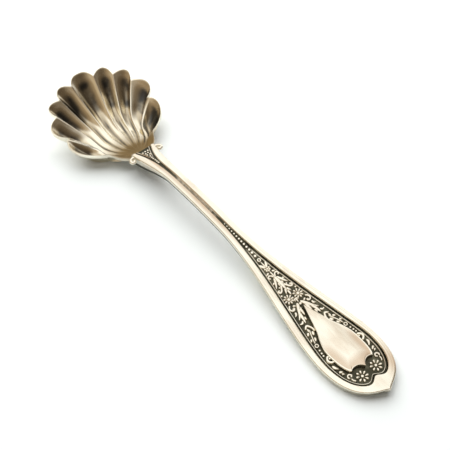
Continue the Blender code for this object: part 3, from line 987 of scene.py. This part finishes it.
def gilt_metal(name, finish_of):
    """Gold wash inside, deepest round the umbo, with painted brown shade in the flutes' valleys, tarnish and
    a painted dark reflection in their cups, paler worn crests that also paint highlights, and bare silver
    outside.
    """
    material, tree, shader, vector = new_metal(name)
    wear = use_group(tree, "Metal wear", vector)
    mask = mesh_mask(tree)
    deep = ranged(tree, length_of(tree, measured_from(tree, vector, (UMBO_X, 0.0, UMBO_HEIGHT))), *DEEP_WASH)
    wash = mixed(tree, deep, finish_of.gilt, finish_of.gilt_deep)
    # Painted shade: the deep gilt's brown laid into the flutes' valleys
    wash = mixed(tree, ranged(tree, mask, *SHADED_VALLEY_MASK, *VALLEY_PAINTED_SHADE), wash, finish_of.gilt_deep)
    # Tarnish with a painted dark reflection: grey patches in the flutes' cups
    patches = ranged(tree, noise(tree, vector, PATCH_GRAIN), *PATCH_SEEN, *PATCH_STRENGTH)
    cup = math_of(tree, "MULTIPLY", ranged(tree, mask, *CUP_TARNISH_AND_SHADE_MASK), patches)
    wash = mixed(tree, cup, wash, finish_of.tarnish)
    toned = spread(tree, wear.outputs["Toning"], OUTSIDE_TONING)
    outside = mixed(tree, toned, finish_of.silver, finish_of.toning)
    tree.links.new(mixed(tree, mask, outside, wash), shader.inputs["Base Color"])
    polish = spread(tree, wear.outputs["Toning"], [finish_of.roughness * share for share in GILT_POLISH])
    rough = math_of(tree, "MULTIPLY_ADD", deep, DEEP_ROUGHNESS, polish)
    tree.links.new(rough, shader.inputs["Roughness"])
    bumped(tree, shader, wear.outputs["Dents"], GILT_DENTS)
    return material


def solder_metal(name, finish_of):
    """Dull solder, darker in patches."""
    material, tree, shader, vector = new_metal(name)
    wear = use_group(tree, "Metal wear", vector)
    dull = [SOLDER_DULL * part for part in finish_of.solder]
    tree.links.new(mixed(tree, wear.outputs["Toning"], finish_of.solder, dull), shader.inputs["Base Color"])
    shader.inputs["Roughness"].default_value = SOLDER_ROUGHNESS
    bumped(tree, shader, wear.outputs["Dents"], SOLDER_DENTS)
    return material


# Sections of the handle

class HandleSection:
    """Half a section of the handle, from the panel's middle round to the back, as points and masks of oxide
    and of painted shade.
    """

    def __init__(self, centre, angle, sizes):
        self.centre = centre
        self.angle = angle
        self.sizes = sizes
        self.half = outline_half(centre, angle)
        self.panel = panel_half(centre, angle)
        self.line = self.half - sizes.line_inset
        self.crown = sizes.rim_crown * math.sin(math.pi * CROWN_SHARE)
        self.spine = centre
        if centre <= TERMINAL_END:
            self.spine = TERMINAL_END - panel_half(TERMINAL_END, 0.0) * math.cos(angle)
        self.fit = min(1.0, self.panel / (2 * sizes.thread_inset))
        worn = between(1.0, STEM_OXIDE, risen(centre, STEM_WORN))
        self.dark = between(worn, 1.0, risen(centre, ROOT_DARK))
        # Painted shade under the stem's lower edges, in the oxide's colour
        self.painted_shade_under = UNDER_PAINTED_SHADE * risen(centre, UNDER_SHADE_SPAN)
        self.points = []
        self.masks = []
        self.ground()
        self.thread()
        self.moat()
        self.rim()
        self.edge()
        self.side()
        self.back()

    def put(self, plan, height, mask=0.0):
        """Adds a point."""
        along, across = plan
        self.points.append(Vector((TIP_X + along, across, height)))
        self.masks.append(mask)

    def lay(self, plan, height_of, lift=0.0, mask=0.0):
        """Adds a point on a surface, or lifted above it."""
        self.put(plan, height_of(plan[0]) + lift, mask)

    def ray(self, reach):
        """The place at a reach from the middle line, or from the terminal's centre where the end is round."""
        return self.centre - reach * math.cos(self.angle), reach * math.sin(self.angle)

    def inward(self, edge, share):
        """The place at a share of the way from the middle line to an edge."""
        return between(self.spine, edge[0], share), edge[1] * share

    def ground(self):
        """The panel's flat ground, as far as the thread."""
        foot = self.sizes.thread_inset + self.sizes.thread_width / 2
        edge = self.ray(self.panel - foot * self.fit)
        for share in GROUND_SHARES:
            self.lay(self.inward(edge, share), panel_height, mask=self.dark)

    def thread(self):
        """The thread that follows the panel's edge, rubbed bright on top."""
        inset = self.sizes.thread_inset
        height = self.sizes.thread_height * smooth((self.panel - inset) / (2 * inset))
        for step in range(THREAD_STEPS + 1):
            turn = math.pi * step / THREAD_STEPS
            reach = self.panel - (inset + math.cos(turn) * self.sizes.thread_width / 2) * self.fit
            lift = height * math.sin(turn)
            bright = THREAD_RUBBED * lift / self.sizes.thread_height
            self.lay(self.ray(reach), panel_height, lift, (1.0 - bright) * self.dark)

    def moat(self):
        """The narrow ground between the thread and the rim."""
        width = self.sizes.thread_inset * MOAT_WIDTH_SHARE * self.fit
        for inset, lift in MOAT:
            self.lay(self.ray(self.panel - inset * width), panel_height, lift, self.dark)

    def rim(self):
        """The rim: its rounded inner edge, its low crown and the line cut along it."""
        for out, drop, mask in RIM_EDGE:
            self.lay(self.ray(self.panel + out), face_height, -drop, mask * self.dark)
        first = self.panel + RIM_EDGE[-1][0]
        last = self.line + CUT_LINE[0][0]
        for step in range(1, RIM_STEPS):
            share = step / RIM_STEPS
            crown = self.sizes.rim_crown * math.sin(math.pi * share * CROWN_SHARE)
            self.lay(self.ray(between(first, last, share)), face_height, crown)
        for offset, cut in CUT_LINE:
            self.lay(self.ray(self.line + offset), face_height, self.crown - cut * self.sizes.line_depth)

    def edge(self):
        """The rounded outer edge of the face."""
        start = self.line + EDGE_START
        for step in range(EDGE_STEPS + 1):
            turn = math.radians(90) * step / EDGE_STEPS
            drop = (self.sizes.edge_round + self.crown) * (1 - math.cos(turn))
            self.lay(self.ray(between(start, self.half, math.sin(turn))), face_height, self.crown - drop)

    def side(self):
        """The side, which leans in towards the back, with painted shade on its lower part under the stem."""
        along = self.ray(self.half)[0]
        top = face_height(along) - self.sizes.edge_round
        foot = back_height(along) + self.sizes.back_round
        for share in SIDE_SHARES:
            # Painted shade on the side's lower part under the stem
            mask = self.painted_shade_under if share > SIDE_SHADE_SHARE else 0.0
            reach = self.half - self.sizes.undercut * share**SIDE_CURVE
            self.put(self.ray(reach), between(top, foot, share), mask)

    def back(self):
        """The rounded edge of the back, with painted shade under the stem, and the plain back."""
        corner = self.half - self.sizes.undercut
        bend = self.sizes.back_round
        for step in range(BACK_ROUND_STEPS + 1):
            turn = math.radians(90) * step / BACK_ROUND_STEPS
            reach = corner - bend * (1 - math.cos(turn))
            # Painted shade on the back's rounded edge under the stem
            self.lay(self.ray(reach), back_height, bend * (1 - math.sin(turn)), self.painted_shade_under)
        edge = self.ray(corner - bend)
        for share in BACK_SHARES:
            self.lay(self.inward(edge, share), back_height)


def handle_section(centre, angle, sizes):
    """The points and the masks of oxide and painted shade of half a section of the handle."""
    section = HandleSection(centre, angle, sizes)
    return section.points, section.masks


def tongue_section(share, columns):
    """Half a section of the tongue that runs on from the root under the bowl's heel."""
    x = TIP_X + HANDLE_LENGTH + TONGUE_LENGTH * share
    half = TONGUE_WIDTH / 2 * math.sqrt(max(TONGUE_END, 1 - share**2))
    thick = TONGUE_THICKNESS / 2
    middle = heel_height(max(x, HINGE_X)) - LAP - thick
    points = []
    for column in range(columns):
        turn = math.pi * column / (columns - 1)
        across = half * math.sin(turn) ** TONGUE_SQUARENESS
        points.append(Vector((x, across, middle + thick * math.cos(turn))))
    points[0].y = points[-1].y = 0.0
    return points, [TONGUE_OXIDE] * columns


# Operators, one for each piece or group of like pieces

class SPOON_OT_handle(bpy.types.Operator):
    """Build the handle: rims, sunk panel, border thread and tongue"""
    bl_idname = "spoon.handle"
    bl_label = "Handle"

    def execute(self, context):
        sizes = context.scene.spoon_sizes
        sections = []
        for step in range(TIP_ROWS):
            angle = math.radians(90) * (step / TIP_ROWS) ** TIP_ROW_EASE
            sections.append(handle_section(TERMINAL_END, angle, sizes))
        for step in range(SIDE_ROWS + 1):
            along = between(TERMINAL_END, HANDLE_LENGTH, step / SIDE_ROWS)
            sections.append(handle_section(along, math.radians(90), sizes))
        columns = len(sections[0][0])
        for step in range(TONGUE_ROWS + 1):
            sections.append(tongue_section(step / TONGUE_ROWS, columns))
        bm = bmesh.new()
        loft(bm, [points for points, masks in sections], [masks for points, masks in sections])
        mirrored(bm)
        metal = silver_metal("Handle silver", context.scene.spoon_finish, HANDLE_TONING, handle_shade_and_tint)
        finish("handle_body", bm, metal, ["handle"])
        return {"FINISHED"}


class SPOON_OT_bowl(bpy.types.Operator):
    """Build the shell bowl: flutes, ridges, wings, lip and outside"""
    bl_idname = "spoon.bowl"
    bl_label = "Shell bowl"

    # Wear inside, by the share of the way from the umbo to the rim: paler crests that are worn gilding and
    # painted highlight, dark cups of tarnish and painted dark reflection, and brown valleys of painted shade
    CUP_TARNISH_AND_SHADE_STARTS = (0.64, 0.76)
    CUP_TARNISH_AND_SHADE_ENDS = (0.91, 1.00)
    CUP_TARNISH_AND_SHADE_NARROWNESS = 1.3
    # Paler worn crests, which also paint the ridges' highlights
    CREST_WEAR_AND_HIGHLIGHT = 0.9
    CREST_HIGHLIGHT_NARROWNESS = 5
    CREST_HIGHLIGHT_RISE = (-0.12, 0.64)
    # Painted brown shade in the valleys
    PAINTED_VALLEY_RISE = (0.10, 0.30)
    PAINTED_VALLEY_BROADENS = (0.50, 0.70)
    PAINTED_VALLEY_STRENGTHS = (0.88, 0.46)
    PAINTED_VALLEY_NARROWNESS = (9.0, 2.0)

    def execute(self, context):
        sizes = context.scene.spoon_sizes
        soft = sizes.ridge_round
        edges = (0.0,) + RIDGE_ANGLES
        half = []
        for index, (low, high) in enumerate(zip(edges, edges[1:])):
            steps = LOBE_STEPS // 2 if index == 0 else LOBE_STEPS
            half += [between(low, high, step / steps) for step in range(steps)]
        half += [between(edges[-1], 180.0, step / HINGE_STEPS) for step in range(HINGE_STEPS + 1)]
        turns = [math.radians(-a) for a in reversed(half[1:])] + [math.radians(a) for a in half]
        rows, masks = [], []
        for step in range(INSIDE_ROWS + 1):
            share = step / INSIDE_ROWS
            rows.append([self.inside(turn, share, sizes) for turn in turns])
            masks.append([self.wear(turn, share, sizes) for turn in turns])
        for step in range(1, LIP_ROWS):
            rows.append([self.lip(turn, step / LIP_ROWS, sizes) for turn in turns])
            masks.append([1.0 - step / LIP_ROWS] * len(turns))
        for step in range(OUTSIDE_ROWS + 1):
            share = 1 - step / OUTSIDE_ROWS
            rows.append([bowl_point(turn, share, soft, under=True) for turn in turns])
            masks.append([0.0] * len(turns))
        bm = bmesh.new()
        loft(bm, rows, masks)
        metal = gilt_metal("Bowl gilt", context.scene.spoon_finish)
        finish("bowl_shell", bm, metal, ["shell_bowl"])
        return {"FINISHED"}

    def inside(self, turn, share, sizes):
        """A point on the inside, which stops short of the outside edge by half the lip."""
        reach = lobed_reach(abs(turn), sizes.ridge_round)
        return bowl_point(turn, share * (1 - sizes.lip / 2 / reach), sizes.ridge_round)

    def wear(self, turn, share, sizes):
        """The mask on the inside: 1 on the gold wash, less on rubbed ridges that also paint highlights, up to
        2 in the painted shade of the valleys and in the cups' tarnish and painted dark reflection.
        """
        index, middle = flute(abs(turn), sizes.ridge_round)
        if index is None:
            return 1.0
        # Paler crests: worn gilding that is also a painted highlight
        rubbed = self.CREST_WEAR_AND_HIGHLIGHT * (1 - middle) ** self.CREST_HIGHLIGHT_NARROWNESS * risen(share, self.CREST_HIGHLIGHT_RISE)
        # Dark cups: tarnish and a painted dark reflection
        cup = risen(share, self.CUP_TARNISH_AND_SHADE_STARTS) * (1 - risen(share, self.CUP_TARNISH_AND_SHADE_ENDS)) * middle**self.CUP_TARNISH_AND_SHADE_NARROWNESS
        # Painted brown shade in the valleys
        broad = risen(share, self.PAINTED_VALLEY_BROADENS)
        strength = between(*self.PAINTED_VALLEY_STRENGTHS, broad) * risen(share, self.PAINTED_VALLEY_RISE)
        painted_valley_shade = strength * middle ** between(*self.PAINTED_VALLEY_NARROWNESS, broad)
        return 1.0 - rubbed + max(cup, painted_valley_shade)

    def lip(self, turn, share, sizes):
        """A point on the rounded lip between the inside and the outside."""
        inner = self.inside(turn, 1.0, sizes)
        outer = bowl_point(turn, 1.0, sizes.ridge_round, under=True)
        bend = math.pi * share
        chord = outer - inner
        out = Vector((inner.x - UMBO_X, inner.y, 0)).normalized()
        swell = (out + Vector((0, 0, 1))).normalized() * sizes.lip / 2 * math.sin(bend)
        return inner + chord * (1 - math.cos(bend)) / 2 + swell


class SPOON_OT_shield(bpy.types.Operator):
    """Build the shield plate with its scroll ears"""
    bl_idname = "spoon.shield"
    bl_label = "Shield"

    # Section from the middle out: share of the half width, 1 on the plate or 0 at its foot, rise in mm, oxide
    PROFILE = ((0.0, 1.0, 0.0, 0.0), (0.2, 1.0, 0.0, 0.0), (0.4, 1.0, 0.0, 0.0), (0.6, 1.0, 0.0, 0.0),
               (0.75, 1.0, 0.0, 0.0), (0.85, 1.0, 0.0, 0.0), (0.89, 1.0, -0.03, 0.1),
               (0.915, 1.0, -0.02, -0.3), (0.94, 1.0, 0.03, BARE), (0.975, 1.0, 0.03, BARE),
               (1.0, 1.0, -0.06, BARE), (1.005, 0.0, 0.0, 1.0))

    def outline(self):
        """The half outline as (along, across): point, shoulder, foot and the arc about the lower daisy."""
        steps = 2 * STROKE_STEPS
        points = []
        for step in range(2 * steps):
            t = step / (2 * steps)
            points.append((between(SHIELD_TOP, SHIELD_SHOULDER, t), SHIELD_HALF * through(SHIELD_SIDE, t)))
        for step in range(steps):
            turn = math.radians(90) * step / steps
            along = SHIELD_SHOULDER - (SHIELD_SHOULDER - SHIELD_FOOT) * math.sin(turn)
            points.append((along, between(SHIELD_FOOT_HALF, SHIELD_HALF, math.cos(turn))))
        first = math.atan2(SHIELD_FOOT - SCALLOP_ALONG, SHIELD_FOOT_HALF - SCALLOP_ACROSS)
        last = math.pi - math.acos(min(1.0, SCALLOP_ACROSS / SCALLOP_REACH))
        for step in range(steps + 1):
            turn = between(first, last, step / steps)
            points.append((SCALLOP_ALONG + SCALLOP_REACH * math.sin(turn),
                           max(0.0, SCALLOP_ACROSS + SCALLOP_REACH * math.cos(turn))))
        points[-1] = (points[-1][0], 0.0)
        return points

    def execute(self, context):
        outline = self.outline()
        end = outline[-1][0]
        rows, masks = [], []
        for index, (along, across) in enumerate(outline):
            spine = between(SHIELD_TOP, end, index / (len(outline) - 1))
            row = []
            for share, full, rise, mask in self.PROFILE:
                place = between(spine, along, share)
                dome = SHIELD_DOME * (1 - (across * share / SHIELD_HALF) ** 2)
                row.append(on_panel(place, across * share, full * (SHIELD_LIFT + dome + rise * MM)))
            rows.append(row)
            masks.append([mask for share, full, rise, mask in self.PROFILE])
        bm = bmesh.new()
        loft(bm, rows, masks)
        mirrored(bm)
        plate = set(bm.verts)
        for path in both_sides(EARS):
            stroke(bm, path, EAR_WIDTH, SHIELD_LIFT * EAR_RELIEF, wire_swell)
        along, across, radius = EAR_BEAD
        for side in (across, -across):
            dot(bm, along, side, radius, SHIELD_LIFT)
        layer = bm.verts.layers.float["mask"]
        for vertex in set(bm.verts) - plate:
            vertex[layer] = BARE
        metal = silver_metal("Shield silver", context.scene.spoon_finish, SHIELD_TONING, shield_toning)
        finish("shield", bm, metal, ["shield_plate"])
        return {"FINISHED"}


class SPOON_OT_flowers(bpy.types.Operator):
    """Build the daisies, the stem flower, the rosette and the row of beads"""
    bl_idname = "spoon.flowers"
    bl_label = "Flowers and beads"

    def execute(self, context):
        height = context.scene.spoon_sizes.relief
        metal = relief_metal(context)
        bm = bmesh.new()
        for along, across, *petals in (LOWER_DAISY, UPPER_DAISY):
            for side in (across, -across):
                flower(bm, along, side, *petals, height)
        flower(bm, *STEM_FLOWER, height)
        finish("daisies", bm, metal)
        bm = bmesh.new()
        ring(bm, *ROSETTE, height)
        for index in range(BEAD_COUNT):
            share = index / (BEAD_COUNT - 1)
            along = between(BEADS_FROM, BEADS_TO, share**BEAD_SPACING)
            dot(bm, along, 0.0, between(*BEAD_RADII, share), height * between(*BEAD_RELIEF, share))
        finish("bead_row", bm, metal)
        return {"FINISHED"}


class SPOON_OT_leaves(bpy.types.Operator):
    """Build the leaf sprays, tendrils, rings and dots"""
    bl_idname = "spoon.leaves"
    bl_label = "Leaves and tendrils"

    def execute(self, context):
        height = context.scene.spoon_sizes.relief
        metal = relief_metal(context)
        bm = bmesh.new()
        for path, width in LEAVES:
            for side in both_sides(path):
                stroke(bm, side, width * LEAF_SPREAD, height * LEAF_RELIEF, leaf_swell)
        for path, width in SPINE_LEAVES:
            stroke(bm, path, width * SPINE_SPREAD, height * LEAF_RELIEF, leaf_swell)
        finish("leaves", bm, metal)
        bm = bmesh.new()
        for path, width in TENDRILS:
            for side in both_sides(path):
                stroke(bm, side, width * TENDRIL_SPREAD, height * TENDRIL_RELIEF, wire_swell)
        for along, across, radius in SIDE_DOTS:
            for side in (across, -across):
                dot(bm, along, side, radius, height * DOT_RELIEF)
        dot(bm, *SPINE_BEAD, height)
        along, across, radius, wire = RING
        for side in (across, -across):
            ring(bm, along, side, radius, wire, height * RING_RELIEF)
        finish("tendrils", bm, metal)
        return {"FINISHED"}


class SPOON_OT_root(bpy.types.Operator):
    """Build the root: stippled panel, scrolls and solder"""
    bl_idname = "spoon.root"
    bl_label = "Root"

    SCROLLS = (("scroll_left", 1, "root_scroll_left"), ("scroll_right", -1, "root_scroll_right"))

    def execute(self, context):
        metal = relief_metal(context)
        self.stipple(context, metal)
        for name, side, node in self.SCROLLS:
            self.scroll(name, side, node, metal)
        self.solder(context)
        return {"FINISHED"}

    def stipple(self, context, metal):
        """Small beads in rows over the root's sunk panel."""
        place = random.Random(STIPPLE_SEED)
        step_along, step_across = STIPPLE_STEPS
        end_margin, side_margin = STIPPLE_MARGINS
        height = context.scene.spoon_sizes.relief * DOT_RELIEF
        bm = bmesh.new()
        along = STIPPLE_FROM
        while along < HANDLE_LENGTH / MM - end_margin:
            half = panel_half(along * MM, math.radians(90)) / MM - side_margin
            count = int(2 * half / step_across)
            for index in range(count + 1):
                across = (index - count / 2) * step_across + place.uniform(-STIPPLE_SHAKE, STIPPLE_SHAKE)
                shaken = along + place.uniform(-STIPPLE_SHAKE, STIPPLE_SHAKE)
                dot(bm, shaken, across, STIPPLE_RADIUS, height)
            along += step_along
        finish("root_stipple", bm, metal)

    def scroll(self, name, side, node, metal):
        """A tapering wire that leaves the root's corner and curls back beside it."""
        steps = 4 * STROKE_STEPS
        path = spline(SCROLL_PATH, steps)
        points = [Vector((TIP_X + along * MM, side * across * MM, SCROLL_HEIGHT)) for along, across in path]
        rows = []
        for step, point in enumerate(points):
            run = points[min(steps, step + 1)] - points[max(0, step - 1)]
            out = Vector((-run.y, run.x, 0)).normalized()
            share = step / steps
            wire = between(*SCROLL_WIRES, share) * wire_swell(share) / 2
            rows.append([point + out * wire * math.cos(bend) + Vector((0, 0, wire * math.sin(bend)))
                         for bend in SECTION_TURNS])
        bm = bmesh.new()
        loft(bm, rows)
        finish(name, bm, metal, [node])

    def solder(self, context):
        """The solder film between the tongue and the bowl's heel."""
        rows = []
        steps = 2 * STROKE_STEPS
        thick = SOLDER_FILM / 2
        for step in range(steps + 1):
            share = between(*SOLDER_SPAN, step / steps)
            x = HINGE_X + TONGUE_LENGTH * share
            half = TONGUE_WIDTH / 2 * SOLDER_WIDTH_SHARE * math.sqrt(1 - share**2)
            middle = heel_height(x) - SEAT_GAP - thick
            section = []
            for turn in SECTION_TURNS:
                bend = turn / 2
                section.append(Vector((x, half * math.sqrt(math.sin(bend)), middle + thick * math.cos(bend))))
            section[0].y = section[-1].y = 0.0
            rows.append(section)
        bm = bmesh.new()
        loft(bm, rows)
        mirrored(bm)
        metal = solder_metal("Solder", context.scene.spoon_finish)
        finish("solder_seam", bm, metal, ["solder_joint"])


class SPOON_OT_stage(bpy.types.Operator):
    """Build the floor, the light and the camera"""
    bl_idname = "spoon.stage"
    bl_label = "Stage"

    # Level directions, away from the camera and towards the soft box that casts the shadows
    FAR = Vector((0.769, -0.639, 0.0))
    KEY_SIDE = Vector((0.927, -0.375, 0.0))
    KEY_SIZE = 2.0
    KEY_DISTANCE = 1.2

    # The room as the metal mirrors it: dim and brown, with a soft box overhead and a light far wall
    LIGHT = (1.10, 1.09, 1.06)
    ROOM_RANGE = (-0.15, 0.85)
    ROOM_LEFT = (0.47, 0.375, 0.26)
    ROOM_RIGHT = (0.165, 0.132, 0.096)
    SOFTBOX_CENTRE = (-0.06, -0.06, 0.0)
    SOFTBOX_TURN = math.radians(75)
    SOFTBOX_HALF = (0.70, 0.60)
    SOFTBOX_EDGE = (0.78, 1.20)
    FAR_WALL = (-0.40, -0.70)
    FILL = (0.97, 0.99, 1.0)

    # The floor, which brightens to plain light away from the spoon
    FLOOR_RADIUS = 6.0
    FLOOR_SIDES = 64
    FLOOR_ROUGHNESS = 0.9
    FLOOR_FADE = (0.15, 0.60)

    CAMERA_PLACE = Vector((-0.09324, 0.07408, 0.14426))
    CAMERA_RIGHT = Vector((-0.6389, -0.7693, 0.0))
    CAMERA_UP = Vector((0.5904, -0.4904, 0.6410))
    CAMERA_CLIP = (0.01, 50.0)

    def execute(self, context):
        stage = context.scene.spoon_stage
        self.floor(context, stage)
        self.key(context, stage)
        self.room(context, stage)
        self.camera(context, stage)
        context.scene.view_settings.view_transform = "Standard"
        return {"FINISHED"}

    def floor(self, context, stage):
        """A matt floor that takes the spoon's shadow."""
        bm = bmesh.new()
        bmesh.ops.create_circle(bm, cap_ends=True, segments=self.FLOOR_SIDES, radius=self.FLOOR_RADIUS)
        mesh = bpy.data.meshes.new("floor")
        bm.to_mesh(mesh)
        bm.free()
        material = bpy.data.materials.new("Floor")
        material.use_nodes = True
        tree = material.node_tree
        shader = tree.nodes["Principled BSDF"]
        shader.inputs["Base Color"].default_value = (*stage.floor, 1.0)
        shader.inputs["Roughness"].default_value = self.FLOOR_ROUGHNESS
        shader.inputs["Specular IOR Level"].default_value = 0.0
        shader.inputs["Emission Color"].default_value = (*stage.floor, 1.0)
        reach = length_of(tree, add(tree, "TexCoord").outputs["Object"])
        lift = ranged(tree, reach, *self.FLOOR_FADE, stage.floor_lift, 1.0)
        seen = add(tree, "LightPath").outputs["Is Camera Ray"]
        tree.links.new(math_of(tree, "MULTIPLY", seen, lift), shader.inputs["Emission Strength"])
        mesh.materials.append(material)
        plane = bpy.data.objects.new("floor", mesh)
        context.scene.collection.objects.link(plane)

    def key(self, context, stage):
        """A broad soft box beyond the bowl, which lights the floor and isn't mirrored in the metal."""
        lamp = bpy.data.lights.new("key", "AREA")
        lamp.shape = "SQUARE"
        lamp.size = self.KEY_SIZE
        lamp.energy = stage.key_radiance * math.pi * self.KEY_SIZE**2
        rise = Vector((0, 0, math.sin(stage.key_elevation)))
        place = (self.KEY_SIDE * math.cos(stage.key_elevation) + rise) * self.KEY_DISTANCE
        box = bpy.data.objects.new("key", lamp)
        box.location = place
        box.rotation_euler = place.to_track_quat("Z", "Y").to_euler()
        box.visible_glossy = False
        context.scene.collection.objects.link(box)

    def room(self, context, stage):
        """Light from all round: the mirrored room for the metal, and an even fill for the floor."""
        world = bpy.data.worlds.new("room")
        world.use_nodes = True
        tree = world.node_tree
        background = tree.nodes["Background"]
        away = math.atan2(-self.FAR.y, -self.FAR.x)
        direction = turned(tree, add(tree, "TexCoord").outputs["Generated"], -away)
        parts = parts_of(tree, direction)
        room = mixed(tree, ranged(tree, parts["Y"], *self.ROOM_RANGE), self.ROOM_LEFT, self.ROOM_RIGHT)
        squared = turned(tree, measured_from(tree, direction, self.SOFTBOX_CENTRE), -self.SOFTBOX_TURN)
        long, short = self.SOFTBOX_HALF
        reach = length_of(tree, stretched(tree, squared, (1 / long, 1 / short, 0)))
        colour = mixed(tree, ranged(tree, reach, *self.SOFTBOX_EDGE), self.LIGHT, room)
        colour = mixed(tree, ranged(tree, parts["X"], *self.FAR_WALL), colour, self.LIGHT)
        path = add(tree, "LightPath").outputs
        colour = mixed(tree, path["Is Glossy Ray"], self.FILL, colour)
        tree.links.new(colour, background.inputs["Color"])
        strength = spread(tree, path["Is Glossy Ray"], (stage.fill_light, stage.far_light))
        strength = math_of(tree, "MAXIMUM", strength, path["Is Camera Ray"])
        tree.links.new(strength, background.inputs["Strength"])
        context.scene.world = world

    def camera(self, context, stage):
        """The camera, which looks down on the spoon from the terminal's side."""
        lens = bpy.data.cameras.new("camera")
        lens.lens = stage.lens
        lens.clip_start, lens.clip_end = self.CAMERA_CLIP
        eye = bpy.data.objects.new("camera", lens)
        back = self.CAMERA_RIGHT.cross(self.CAMERA_UP)
        turn = Matrix((self.CAMERA_RIGHT, self.CAMERA_UP, back)).transposed()
        eye.location = self.CAMERA_PLACE
        eye.rotation_euler = turn.to_euler()
        context.scene.collection.objects.link(eye)
        context.scene.camera = eye


class SPOON_PT_panel(bpy.types.Panel):
    """Settings and build steps for the spoon"""
    bl_idname = "SPOON_PT_panel"
    bl_label = "Shell bowl spoon"
    bl_space_type = "VIEW_3D"
    bl_region_type = "UI"
    bl_category = "Spoon"

    def draw(self, context):
        layout = self.layout
        for group in (context.scene.spoon_sizes, context.scene.spoon_finish, context.scene.spoon_stage):
            for name in group.__annotations__:
                layout.prop(group, name)
        for operator in OPERATORS:
            layout.operator(operator.bl_idname)


OPERATORS = (SPOON_OT_handle, SPOON_OT_bowl, SPOON_OT_shield, SPOON_OT_flowers, SPOON_OT_leaves,
             SPOON_OT_root, SPOON_OT_stage)
CLASSES = (SpoonSizes, SpoonFinish, SpoonStage) + OPERATORS + (SPOON_PT_panel,)


def register():
    """Adds the spoon's settings, operators and panel."""
    for kind in CLASSES:
        bpy.utils.register_class(kind)
    bpy.types.Scene.spoon_sizes = PointerProperty(type=SpoonSizes)
    bpy.types.Scene.spoon_finish = PointerProperty(type=SpoonFinish)
    bpy.types.Scene.spoon_stage = PointerProperty(type=SpoonStage)


def unregister():
    """Takes them away again."""
    del bpy.types.Scene.spoon_stage
    del bpy.types.Scene.spoon_finish
    del bpy.types.Scene.spoon_sizes
    for kind in reversed(CLASSES):
        bpy.utils.unregister_class(kind)


def main():
    """Builds the whole spoon."""
    register()
    make_wear_group()
    make_oxide_and_shade_group(bpy.context.scene.spoon_finish.oxide)
    bpy.ops.spoon.handle()
    bpy.ops.spoon.bowl()
    bpy.ops.spoon.shield()
    bpy.ops.spoon.flowers()
    bpy.ops.spoon.leaves()
    bpy.ops.spoon.root()
    bpy.ops.spoon.stage()


if __name__ == "__main__":
    main()
